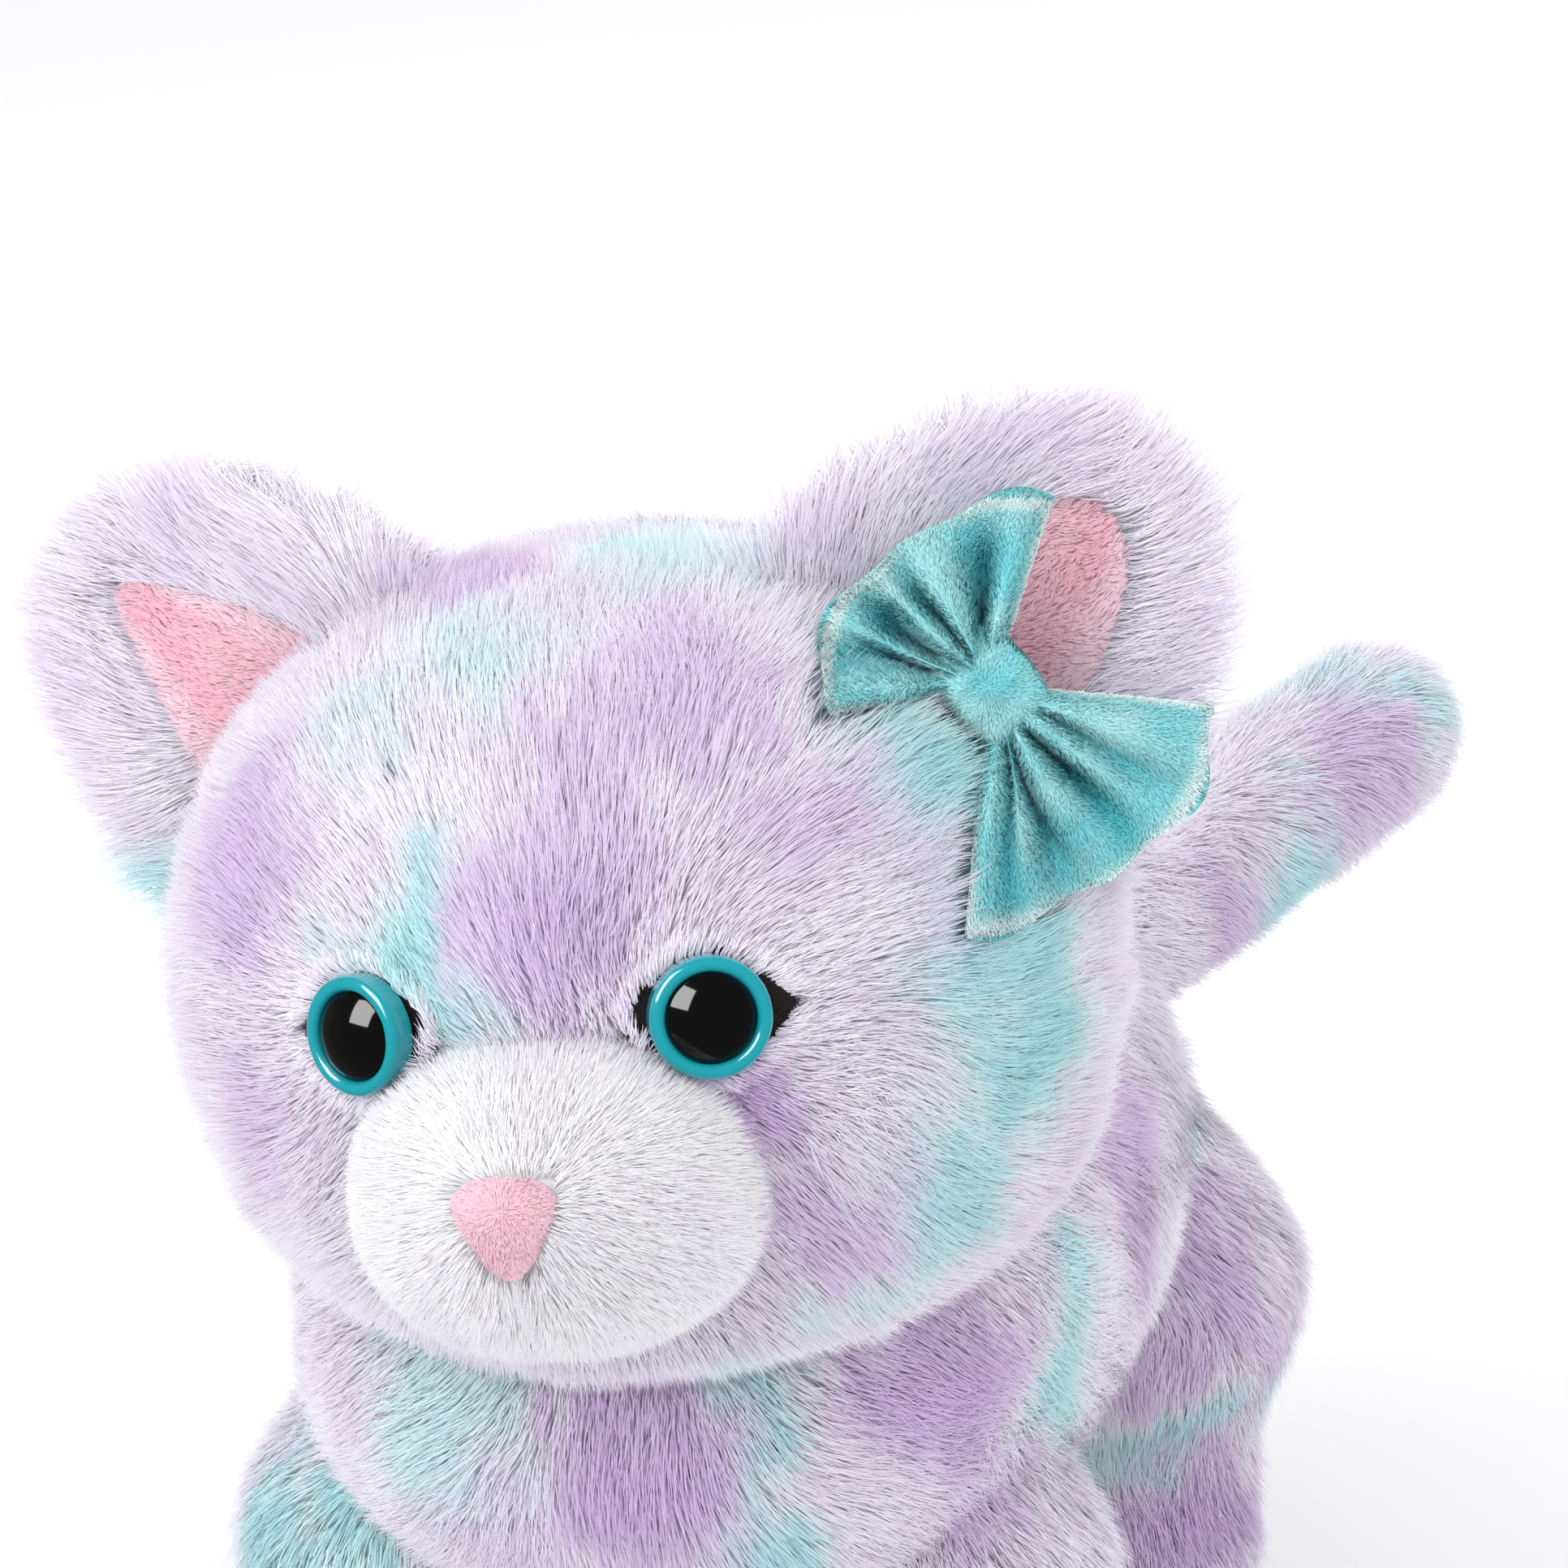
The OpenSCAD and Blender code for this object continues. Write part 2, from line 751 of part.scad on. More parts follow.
module tail_form(grow = 0) {
    rings = 10;
    tip_round = 0.16;
    root_round = 0.1;
    radius = function (s)
        let (r = lerp(tail_d, tail_tip_d, s) / 2 + grow,
             e = max(0, (root_round - s) / root_round, (s - 1 + tip_round) / tip_round))
        r * sqrt(max(0, 1 - e * e));
    ring = function (s)
        let (p = tail_line(s), r = radius(s))
        [for (j = [0:small_ring_points - 1])
            let (a = 360 * j / small_ring_points)
            [r * cos(a), p[0] - r * sin(a) * sin(tail_rise), p[1] + r * sin(a) * cos(tail_rise)]];
    at = function (s) [0, tail_line(s)[0], tail_line(s)[1]];
    along = [for (i = [1:rings - 2]) lerp(0.02, 0.9, i / (rings - 2))];
    stations = concat([0.012, 0.04], along, [0.95, 0.985]);
    skin(at(0), [for (s = stations) ring(s)], at(1));
}

// Frame of the tail, with its length along +Y and its pivot on the Z axis
module in_tail(turn = tail_rest) {
    translate([0, tail_y, 0]) rotate([0, 0, -turn]) children();
}

// Space that the tail's root and its lever sweep inside the body
module tail_sweep() {
    root_r = tail_d / 2 + tail_gap;
    rod_room = rod_r / cos(tail_rise) + tail_gap;
    rod_low = tail_z - post_in * tan(tail_rise) - rod_room;
    rod_high = tail_z + rod_room;
    post_near = post_at - post_r - tail_gap;
    post_far = post_at + post_r + tail_gap;
    translate([0, tail_y, 0]) {
        rotate([0, 0, 90 - arm_sweep]) rotate_extrude(angle = 2 * arm_sweep)
            polygon([
                [nose_r - over, arm_z - tail_gap], [post_far, arm_z - tail_gap],
                [post_far, rod_low], [tail_root, rod_low], [tail_root, rod_high], [post_near, rod_high],
                [post_near, arm_z + arm_h + tail_gap], [nose_r - over, arm_z + arm_h + tail_gap],
            ]);
        rotate([0, 0, 90 - arm_sweep]) rotate_extrude(angle = 2 * arm_sweep)
            translate([tail_root + root_r * sweep_in, tail_z + root_r * sweep_in * tan(tail_rise)])
                circle(root_r);
    }
}

// Plush pieces
module body_plush() {
    placed() color(lilac) soft() {
        body_form();
        in_head() superellipsoid(dish_size, head_full);
        chassis_block(floor_z - fabric_gap, roof_top + fabric_gap, fabric_gap);
        translate([0, neck_y, roof_top]) cylinder(d = collar_d + 2 * fabric_gap, h = head_z - roof_top);
        belly_window();
        lug_rooms();
        tail_sweep();
    }
}

// Opening in the belly that leaves the door and the switch free
module belly_window() {
    translate([0, door_y, body_z - body_h]) linear_extrude(floor_z - body_z + body_h)
        rounded_plan([chassis_w - 2 * window_rim, door_len + 2 * window_rim], box_corner);
}

// Way that the battery door takes downwards between the legs
module door_corridor() {
    tall = door_drop + 2 * over;
    translate([0, door_y, floor_z - tall]) linear_extrude(tall)
        rounded_plan([door_w + 2 * corridor_room, door_len + 2 * corridor_room], corridor_corner);
}

// A leg drawn on the kitten's left and mirrored for its right
module leg_plush(side, place) {
    placed() color(lilac) soft() mirror([side < 0 ? 1 : 0, 0, 0]) difference() {
        children();
        body_form(seam_gap);
        strut_room(place);
        door_corridor();
        if (place == hind_strut) tail_sweep();
    }
}

module foreleg_left() leg_plush(1, fore_strut) foreleg_form();
module foreleg_right() leg_plush(-1, fore_strut) foreleg_form();
module hindleg_left() leg_plush(1, hind_strut) hindleg_form();
module hindleg_right() leg_plush(-1, hind_strut) hindleg_form();

module head_plush() {
    placed() color(lilac) soft() {
        head_form();
        core_block(core_room, room_steps);
        translate([0, neck_y, head_z - head_h]) cylinder(d = hub_d + 2 * fabric_gap, h = head_h);
        translate([0, neck_y, roof_top + collar_rise + head_gap - head_h]) cylinder(d = head_w, h = head_h);
        translate([0, neck_y, core_top - pat_well])
            cylinder(
                d = pat_d + 2 * fabric_gap,
                h = pat_cap_z + pat_cap_t + fabric_gap - core_top + pat_well);
        for (side = [-1, 1]) at_eye(side) {
            translate([0, 0, eye_back - stem_len - fabric_gap])
                cylinder(d = stem_d + 2 * fabric_gap, h = 2 * stem_len);
            translate([0, 0, eye_back - washer_back - fabric_gap])
                cylinder(d = washer_d + 2 * fabric_gap, h = washer_t + 2 * fabric_gap);
        }
    }
}

module muzzle() {
    placed() color("white") soft() {
        muzzle_form();
        head_form(seam_gap);
        for (side = [-1, 1]) at_eye(side)
            cylinder(d = eye_d + 2 * fabric_gap, h = 2 * stem_len, center = true);
    }
}

// Frame of the nose on the muzzle's front, with +Z outwards
module at_nose() {
    in_head() translate([0, -muzzle_out, -muzzle_drop]) rotate([-nose_up, 0, 0])
        translate([0, -reach(muzzle_size(), muzzle_full, aim(0, nose_up)), 0]) rotate([90, 0, 0]) children();
}

module nose() {
    corner = nose_t / 2;
    top = nose_h / 2 - corner;
    placed() color(pink) soft() {
        at_nose() hull() {
            for (x = [-1, 1]) translate([x * (nose_w / 2 - corner), top, 0]) sphere(corner);
            translate([0, -top, 0]) sphere(corner);
        }
        muzzle_form(seam_gap);
    }
}

module ear(side) {
    placed() color(lilac) soft() {
        at_ear(side) ear_form(ear_w, ear_len, ear_t, ear_w, 0);
        head_form(seam_gap);
        lining_form(side, seam_gap);
    }
}

module ear_left() ear(1);
module ear_right() ear(-1);

module ear_lining(side) {
    placed() color(pink) soft() {
        lining_form(side);
        head_form(seam_gap);
    }
}

module ear_lining_left() ear_lining(1);
module ear_lining_right() ear_lining(-1);

// Almond felt that lies on the head behind an eye
module eye_felt(side) {
    r = (pow(felt_len / 2, 2) + pow(felt_h / 2, 2)) / felt_h;
    deep = 8;
    placed() color("black") soft() {
        intersection() {
            at_eye(side) linear_extrude(deep, center = true) intersection_for (y = [-1, 1])
                translate([0, y * (r - felt_h / 2)]) circle(r, $fn = ring_points);
            head_form(felt_t + seam_gap);
        }
        head_form(seam_gap);
        muzzle_form(seam_gap);
        at_eye(side) translate([0, 0, -stem_len]) cylinder(d = stem_d + 2 * slide_gap, h = 2 * stem_len);
        at_eye(side) translate([0, 0, eye_back + seam_gap - eye_lift / 2]) cylinder(d = eye_d, h = stem_len);
    }
}

module eye_felt_left() eye_felt(1);
module eye_felt_right() eye_felt(-1);

// Eye ring: a plate with a rounded rim in front and a stem behind
module eye_ring(side) {
    r = eye_d / 2;
    rim_in = pupil_d / 2 + slide_gap;
    rim_r = (r - rim_in) / 2;
    straight = ring_rim - rim_r;
    placed() color(teal) at_eye(side) translate([0, 0, eye_back + seam_gap]) {
        cylinder(r = r, h = ring_plate);
        rotate_extrude() {
            translate([rim_in, 0]) square([r - rim_in, straight]);
            translate([rim_in + rim_r, straight]) circle(rim_r);
        }
        translate([0, 0, -stem_len]) cylinder(d = stem_d, h = stem_len + ring_plate / 2);
    }
}

module eye_ring_left() eye_ring(1);
module eye_ring_right() eye_ring(-1);

// Domed pupil that sits on the ring's plate
module pupil(side) {
    r = pupil_d / 2;
    dome = 0.6 * pupil_h;
    dome_r = (r * r + dome * dome) / (2 * dome);
    base = eye_back + seam_gap + ring_plate;
    placed() color("black") at_eye(side) translate([0, 0, base]) intersection() {
        cylinder(r = r, h = pupil_h);
        translate([0, 0, pupil_h - dome_r]) sphere(dome_r);
    }
}

module pupil_left() pupil(1);
module pupil_right() pupil(-1);

module eye_washers() {
    placed() color("white") for (side = [-1, 1]) at_eye(side)
        translate([0, 0, eye_back - washer_back]) difference() {
            cylinder(d = washer_d, h = washer_t);
            translate([0, 0, -over]) cylinder(d = stem_d + 2 * run_gap, h = washer_t + 2 * over);
        }
}

// Velvet bow
module bow_loop(side) {
    placed() color(velvet) soft() {
        at_bow() rotate([0, side < 0 ? 180 : 0, 0]) loop_form();
        head_form(seam_gap);
        at_ear(1) ear_form(ear_w, ear_len, ear_t, ear_w, 0, seam_gap);
        lining_form(1, seam_gap);
    }
}

module bow_loop_upper() bow_loop(-1);
module bow_loop_lower() bow_loop(1);

module bow_knot() {
    placed() color(velvet) soft() {
        at_bow() superellipsoid([knot_len, loop_t + knot_more, knot_h], knot_full, 6, small_ring_points);
        for (turn = [0, 180]) at_bow() rotate([0, turn, 0]) translate([knot_len / 2, -loop_t, -loop_w / 2])
            cube([loop_len, 2 * loop_t, loop_w]);
        head_form(seam_gap);
        at_ear(1) ear_form(ear_w, ear_len, ear_t, ear_w, 0, seam_gap);
        lining_form(1, seam_gap);
    }
}

// Leg struts
module strut(side, place) {
    placed() color(shell_grey) strut_form(side, place);
}

module strut_fore_left() strut(1, fore_strut);
module strut_fore_right() strut(-1, fore_strut);
module strut_hind_left() strut(1, hind_strut);
module strut_hind_right() strut(-1, hind_strut);

// Tail
module tail_plush() {
    placed() color(lilac) soft() {
        in_tail() tail_form();
        in_tail() tail_rod(fabric_gap);
    }
}

// Rod inside the tail, from the lever's post along the tail's middle line
module tail_rod(grow = 0) {
    start = [0, post_at, tail_z - (tail_root - post_at) * tan(tail_rise)];
    len = (tail_root - post_at + rod_share * tail_len) / cos(tail_rise);
    translate(start) rotate([tail_rise - 90, 0, 0]) translate([0, 0, -grow])
        cylinder(r = rod_r + grow, h = len + 2 * grow);
    translate([0, post_at, arm_z]) cylinder(r = post_r + grow, h = start[2] - arm_z + rod_r + grow);
}

module tail_lever() {
    placed() color(shell_grey) translate([0, tail_y, 0]) difference() {
        union() {
            translate([0, 0, hub_z]) cylinder(d = tail_hub_d, h = gear_z + gear_t + hub_over - hub_z);
            translate([0, 0, gear_z]) gear(gear_teeth, gear_t);
            rotate([0, 0, -tail_rest]) {
                translate([-arm_w / 2, 0, arm_z]) cube([arm_w, post_at, arm_h]);
                tail_rod();
            }
        }
        translate([0, 0, hub_z - over]) cylinder(d = pivot_d + 2 * run_gap, h = roof_top - hub_z);
    }
}

module tail_pin() {
    placed() color(steel) translate([0, tail_y, floor_top - pin_sunk])
        cylinder(d = pivot_d, h = roof_z - floor_top + 2 * pin_sunk);
}

// Gear motors and pinions
module motor(y) {
    terminal = [1.2, 0.6, 3];
    terminal_z = 2;
    placed() color(steel) translate([0, y, floor_top]) difference() {
        union() {
            translate([-motor_w / 2, -motor_d / 2, 0]) cube([motor_w, motor_d, motor_h]);
            for (x = [-1, 1])
                translate([x * motor_w / 2 - terminal[0] / 2, -terminal[1] / 2, terminal_z]) cube(terminal);
        }
        translate([0, 0, motor_h - shaft_sunk])
            cylinder(d = motor_shaft_d + 2 * run_gap, h = shaft_sunk + over);
    }
}

module pinion(y) {
    shaft_z = motor_top - shaft_sunk + 0.3;
    shaft_end = gear_z + gear_t + pinion_over + 0.8;
    placed() color("white") translate([0, y, 0]) {
        translate([0, 0, gear_z - pinion_over]) rotate([0, 0, 180 / pinion_teeth + 90])
            gear(pinion_teeth, gear_t + 2 * pinion_over);
        translate([0, 0, shaft_z]) cylinder(d = motor_shaft_d, h = shaft_end - shaft_z);
    }
}

module head_motor() motor(head_motor_y);
module tail_motor() motor(tail_motor_y);
module head_pinion() pinion(head_motor_y);
module tail_pinion() pinion(tail_motor_y);

// Neck
module neck_shaft() {
    placed() color(shell_grey) translate([0, neck_y, 0]) difference() {
        union() {
            translate([0, 0, floor_top + shaft_foot])
                cylinder(d = neck_end_d, h = shaft_top - floor_top - shaft_foot);
            translate([0, 0, boss_top + run_gap]) cylinder(d = neck_d, h = shoulder_z - boss_top - run_gap);
        }
        translate([0, 0, floor_top]) cylinder(d = neck_bore, h = shaft_top);
        translate([0, 0, shoulder_z + hub_h]) difference() {
            cylinder(d = neck_d, h = clip_t);
            cylinder(d = groove_d, h = clip_t);
        }
    }
}

module neck_gear() {
    placed() color("white") translate([0, neck_y, gear_z]) difference() {
        rotate([0, 0, 90]) gear(gear_teeth, gear_t);
        translate([0, 0, -over]) cylinder(d = neck_d, h = gear_t + 2 * over);
    }
}

module neck_clip() {
    placed() color(steel) translate([0, neck_y, shoulder_z + hub_h]) linear_extrude(clip_t) difference() {
        circle(d = hub_d);
        circle(d = groove_d);
        translate([-groove_d * clip_mouth / 2, 0]) square([groove_d * clip_mouth, hub_d]);
    }
}

// Upright section through the head core, from its base to its top
function core_arc(r, half, low, steps = arc_steps) = [for (i = [0:steps])
    let (a = lerp(low, 90, i / steps)) [r * cos(a), half * sin(a)]];

module core_block(grow = 0, steps = arc_steps) {
    base = core_base_z - core_z;
    low = asin(base / core_half_h);
    translate([0, neck_y, core_z]) rotate_extrude()
        polygon(concat(
            [[0, base - grow], [core_r * cos(low) + grow, base - grow]],
            core_arc(core_r + grow, core_half_h + grow, low, steps)));
}

module head_core() {
    pocket_w = pat_switch_w + 2 * slide_gap;
    inner_r = core_r - core_wall;
    inner_half = core_half_h - core_wall;
    base_in = core_base_z + core_base_t - core_z;
    inner_low = asin(base_in / inner_half);
    placed() color(shell_grey) difference() {
        union() {
            difference() {
                core_block();
                translate([0, neck_y, core_z]) rotate_extrude()
                    polygon(concat([[0, base_in]], core_arc(inner_r, inner_half, inner_low)));
            }
            translate([0, neck_y, shoulder_z]) cylinder(d = hub_d, h = hub_h);
            translate([0, neck_y, pat_boss_z]) cylinder(d = pat_boss_d, h = pat_boss_h);
        }
        translate([0, neck_y, shoulder_z - over]) cylinder(d = neck_end_d, h = hub_h + 2 * over);
        translate([0, neck_y, pat_boss_z]) cylinder(d = pat_stem_d + 2 * run_gap, h = core_half_h);
        translate([0, neck_y, pat_boss_z + (pat_pocket_h - over) / 2])
            cube([pocket_w, pocket_w, pat_pocket_h + over], center = true);
    }
}

// Pat button under the crown and the switch below it
module pat_button() {
    placed() color("white") translate([0, neck_y, 0]) {
        translate([0, 0, pat_stem_z]) cylinder(d = pat_stem_d, h = pat_cap_z - pat_stem_z + sunk);
        translate([0, 0, pat_cap_z]) cylinder(d = pat_d, h = pat_cap_t);
    }
}

module pat_switch() {
    placed() color("dimgray") translate([0, neck_y, pat_boss_z + pat_pocket_h]) {
        translate([0, 0, -pat_switch_h / 2]) cube([pat_switch_w, pat_switch_w, pat_switch_h], center = true);
        cylinder(d = pat_tip_d, h = pat_tip_h);
    }
}

// Chassis
module motor_ribs(y) {
    rib = [0.65 * motor_w, 1.6, 8];
    for (turn = [0, 180]) translate([0, y, floor_top + (rib[2] - sunk) / 2]) rotate([0, 0, turn])
        translate([0, motor_d / 2 + slide_gap + rib[1] / 2, 0])
            cube([rib[0], rib[1], rib[2] + sunk], center = true);
}

module chassis_lower() {
    low = floor_top - sunk;
    placed() color(shell_grey) difference() {
        union() {
            difference() {
                chassis_block(floor_z, split_z);
                chassis_block(floor_top, split_z + over, -wall);
            }
            translate([0, neck_y, low]) cylinder(d = neck_end_d + 2 * boss_wall, h = boss_top - low);
            translate([0, tail_y, low]) cylinder(d = tail_hub_d, h = hub_z - low - run_gap);
            translate([0, bay_y, (low + bay_top + bay_roof) / 2])
                cube([bay_w + 2 * wall, bay_len + 2 * wall, bay_top + bay_roof - low], center = true);
            for (p = screw_places) translate([p[0], p[1], low]) cylinder(d = screw_post_d, h = split_z - low);
            translate([0, door_screw_y, low]) cylinder(d = door_post_d, h = door_post_h);
            for (x = [-1, 1], y = [-1, 1])
                translate([
                    x * (bay_w / 2 - board_post_side),
                    board_y + y * (board_size[1] / 2 - board_post_end),
                    bay_top])
                    cylinder(d = board_post_d, h = board_z - bay_top);
            motor_ribs(head_motor_y);
            motor_ribs(tail_motor_y);
            lugs();
        }
        translate([0, neck_y, floor_top + shaft_foot / 2])
            cylinder(d = neck_end_d + 2 * run_gap, h = split_h);
        translate([0, tail_y, floor_top - pin_sunk]) cylinder(d = pivot_d, h = split_h);
        translate([-bay_w / 2, bay_y - bay_len / 2, floor_z - over])
            cube([bay_w, bay_len, bay_top - floor_z + over]);
        translate([0, door_y, floor_z - over]) linear_extrude(door_t + over)
            rounded_plan([door_w + 2 * slide_gap, door_len + 2 * slide_gap], door_corner);
        translate([0, door_screw_y, floor_z - over]) cylinder(d = screw_d + 2 * slide_gap, h = door_post_h);
        for (p = screw_places) translate([p[0], p[1], floor_z - over]) {
            cylinder(d = screw_head_d + 2 * slide_gap, h = screw_head_h + over);
            cylinder(d = screw_d + 2 * slide_gap, h = split_h + 2 * over);
        }
        translate([switch_x - knob_w / 2 - slide_gap, switch_y - knob_len / 2 - slide_gap, floor_z - over])
            cube([knob_w + 2 * slide_gap, knob_len + switch_travel + 2 * slide_gap, floor_t + 2 * over]);
        for (side = [-1, 1], place = [fore_strut, hind_strut])
            translate([side * place[0], place[1], lug_z - over]) cylinder(d = strut_d, h = lug_h + 2 * over);
    }
}

module chassis_upper() {
    stop_z = gear_z + gear_t + hub_over + hub_play;
    placed() color(shell_grey) difference() {
        union() {
            difference() {
                chassis_block(split_z, roof_top);
                chassis_block(split_z - over, roof_z, -wall);
            }
            translate([0, neck_y, collar_z]) cylinder(d = collar_d, h = collar_h);
            translate([0, tail_y, stop_z]) cylinder(d = tail_hub_d, h = roof_z + sunk - stop_z);
            for (p = screw_places)
                translate([p[0], p[1], split_z]) cylinder(d = screw_post_d, h = roof_z + sunk - split_z);
        }
        translate([0, neck_y, collar_z - over]) cylinder(d = neck_d + 2 * run_gap, h = collar_h + 2 * over);
        translate([0, tail_y, gear_z]) cylinder(d = pivot_d, h = roof_z + pin_sunk - gear_z);
        for (p = screw_places) translate([p[0], p[1], split_z - over])
            cylinder(d = screw_d, h = screw_bite + 1.5 * over);
        grille();
        translate([0, tail_y, split_z - over]) rotate([0, 0, 90 - arm_sweep])
            rotate_extrude(angle = 2 * arm_sweep)
            translate([nose_r - 2 * wall, 0]) square([3 * wall, arm_z + arm_h + tail_gap - split_z + over]);
    }
}

// Sound holes in the roof, in rings over the speaker
module grille() {
    hole_d = 3;
    pitch = 5.5;
    for (ring = [0:2]) {
        count = max(1, 6 * ring);
        for (i = [0:count - 1])
            translate([0, speaker_y, roof_z - over]) rotate([0, 0, 360 * i / count])
                translate([ring * pitch, 0, 0]) cylinder(d = hole_d, h = roof_t + 2 * over);
    }
}

module screw(shank) {
    slot = 0.8;
    difference() {
        union() {
            cylinder(d = screw_head_d, h = screw_head_h);
            cylinder(d = screw_d, h = screw_head_h + shank);
        }
        translate([-screw_head_d / 2, -slot / 2, -over]) cube([screw_head_d, slot, over + screw_head_h / 2]);
        translate([-slot / 2, -screw_head_d / 2, -over]) cube([slot, screw_head_d, over + screw_head_h / 2]);
    }
}

module chassis_screws() {
    placed() color(steel) for (p = screw_places)
        translate([p[0], p[1], floor_z]) screw(split_h + screw_bite - screw_head_h);
}

// Power
module cells() {
    nub_d = 5.4;
    nub_h = 1.4;
    placed() color("dimgray") for (side = [-1, 1])
        translate([side * cell_pitch / 2, bay_y, cell_z]) rotate([side * 90, 0, 0]) {
            translate([0, 0, -cell_len / 2]) cylinder(d = cell_d, h = cell_len - nub_h);
            translate([0, 0, cell_len / 2 - nub_h - sunk]) cylinder(d = nub_d, h = nub_h + sunk);
        }
}

// Leaf contacts: a strip on the bay's wall that bows towards the cell
module contacts() {
    strip = 0.5;
    leaf_w = 8;
    tall = 0.7 * cell_d;
    bow = contact_room - slide_gap;
    placed() color(steel) for (side = [-1, 1], end = [-1, 1])
        translate([side * cell_pitch / 2, bay_y + end * bay_len / 2, cell_z]) mirror([0, end > 0 ? 1 : 0, 0])
            rotate([90, 0, 90]) linear_extrude(leaf_w, center = true) polygon([
                [0, -tall / 2], [strip, -tall / 2], [strip, tall / 4], [bow, 0], [bow, strip],
                [strip, tall / 4 + 2 * strip], [strip, tall / 2], [0, tall / 2],
            ]);
}

module battery_door() {
    rib = [2, bay_len - 2 * door_rim, 2];
    placed() color(shell_grey) difference() {
        union() {
            translate([0, door_y, floor_z]) linear_extrude(door_t)
                rounded_plan([door_w, door_len], door_corner);
            for (x = [-1, 1]) translate([x * (bay_w / 2 - rib[0]), bay_y, floor_z + door_t])
                cube(rib, center = true);
        }
        translate([0, door_screw_y, floor_z - over])
            cylinder(d = screw_d + 2 * slide_gap, h = door_t + 2 * over);
        translate([0, door_screw_y, floor_z - over])
            cylinder(d = screw_head_d + 2 * slide_gap, h = over + door_t / 2);
    }
}

module door_screw() {
    placed() color(steel) translate([0, door_screw_y, floor_z + door_t / 2 - screw_head_h])
        screw(door_screw_len);
}

module power_switch() {
    placed() color("dimgray") difference() {
        translate([switch_x, switch_y + switch_travel / 2, floor_top + switch_size[2] / 2])
            cube(switch_size, center = true);
        translate([switch_x - knob_w / 2 - slide_gap, switch_y - knob_len / 2 - slide_gap, floor_top - over])
            cube([
                knob_w + 2 * slide_gap,
                knob_len + switch_travel + 2 * slide_gap,
                knob_in + over + knob_room]);
    }
}

module switch_knob() {
    placed() color("black") translate([switch_x - knob_w / 2, switch_y - knob_len / 2, floor_z - knob_out])
        cube([knob_w, knob_len, knob_out + floor_t + knob_in]);
}

module circuit_board() {
    chip = [12, 12, 1.8];
    plug = [6, 8, 3];
    plug_at = [-16, 8];
    can_d = 5;
    can_h = 4;
    can_at = [12, -14];
    placed() color("seagreen") translate([0, board_y, board_z]) {
        translate([-board_size[0] / 2, -board_size[1] / 2, 0]) cube(board_size);
        translate([-chip[0] / 2, -chip[1] / 2, board_size[2]]) cube(chip);
        translate([plug_at[0], plug_at[1], board_size[2]]) cube(plug);
        translate([can_at[0], can_at[1], board_size[2]]) cylinder(d = can_d, h = can_h);
    }
}

module speaker() {
    flange = 1.5;
    rim = 3;
    dip = 1;
    r = speaker_d / 2;
    magnet_r = 0.6 * r;
    magnet_z = -0.6 * speaker_h;
    placed() color("dimgray") translate([0, speaker_y, roof_z]) rotate_extrude()
        polygon([
            [0, -dip], [r - rim, -dip], [r - rim, 0], [r, 0], [r, -flange], [r - rim, -flange],
            [magnet_r, magnet_z], [magnet_r, -speaker_h], [0, -speaker_h],
        ]);
}

body_plush();
head_plush();
muzzle();
nose();
ear_left();
ear_right();
ear_lining_left();
ear_lining_right();
eye_felt_left();
eye_felt_right();
eye_ring_left();
eye_ring_right();
pupil_left();
pupil_right();
eye_washers();
bow_loop_upper();
bow_loop_lower();
bow_knot();
foreleg_left();
foreleg_right();
hindleg_left();
hindleg_right();
strut_fore_left();
strut_fore_right();
strut_hind_left();
strut_hind_right();
tail_plush();
tail_lever();
tail_pin();
tail_motor();
tail_pinion();
head_core();
neck_shaft();
neck_gear();
neck_clip();
head_motor();
head_pinion();
pat_button();
pat_switch();
chassis_lower();
chassis_upper();
chassis_screws();
cells();
contacts();
battery_door();
door_screw();
power_switch();
switch_knob();
circuit_board();
speaker();
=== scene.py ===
import json
import math

import bpy
import numpy as np
from mathutils import Matrix
from mathutils.kdtree import KDTree


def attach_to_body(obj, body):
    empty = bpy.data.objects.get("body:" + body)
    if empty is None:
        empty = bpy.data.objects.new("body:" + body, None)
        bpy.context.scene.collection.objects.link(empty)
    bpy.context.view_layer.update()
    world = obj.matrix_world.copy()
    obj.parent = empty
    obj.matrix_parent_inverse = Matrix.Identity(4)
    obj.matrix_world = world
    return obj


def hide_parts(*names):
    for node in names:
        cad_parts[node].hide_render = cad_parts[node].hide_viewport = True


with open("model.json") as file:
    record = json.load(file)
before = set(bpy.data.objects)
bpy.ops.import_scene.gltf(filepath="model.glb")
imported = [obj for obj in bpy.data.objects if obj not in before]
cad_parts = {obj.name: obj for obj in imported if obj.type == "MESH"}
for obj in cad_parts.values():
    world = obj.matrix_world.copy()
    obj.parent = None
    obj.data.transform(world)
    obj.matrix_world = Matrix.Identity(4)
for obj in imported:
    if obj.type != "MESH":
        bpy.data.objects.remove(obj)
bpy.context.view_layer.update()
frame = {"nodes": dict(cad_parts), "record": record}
rng = np.random.default_rng(11)
noiseCells = 32
noiseTable = rng.random((noiseCells, noiseCells, noiseCells))
metres = 0.001  # forms are in millimetres
sides = (1, -1)  # the toy's left and right
outside = 9.0  # level given to points past the ends of a form


# Frames and forms
def turn(axis, degrees):
    c, s = math.cos(math.radians(degrees)), math.sin(math.radians(degrees))
    m = np.eye(3)
    i, j = {"x": (1, 2), "y": (2, 0), "z": (0, 1)}[axis]
    m[i, i] = m[j, j] = c
    m[i, j], m[j, i] = -s, s
    return m


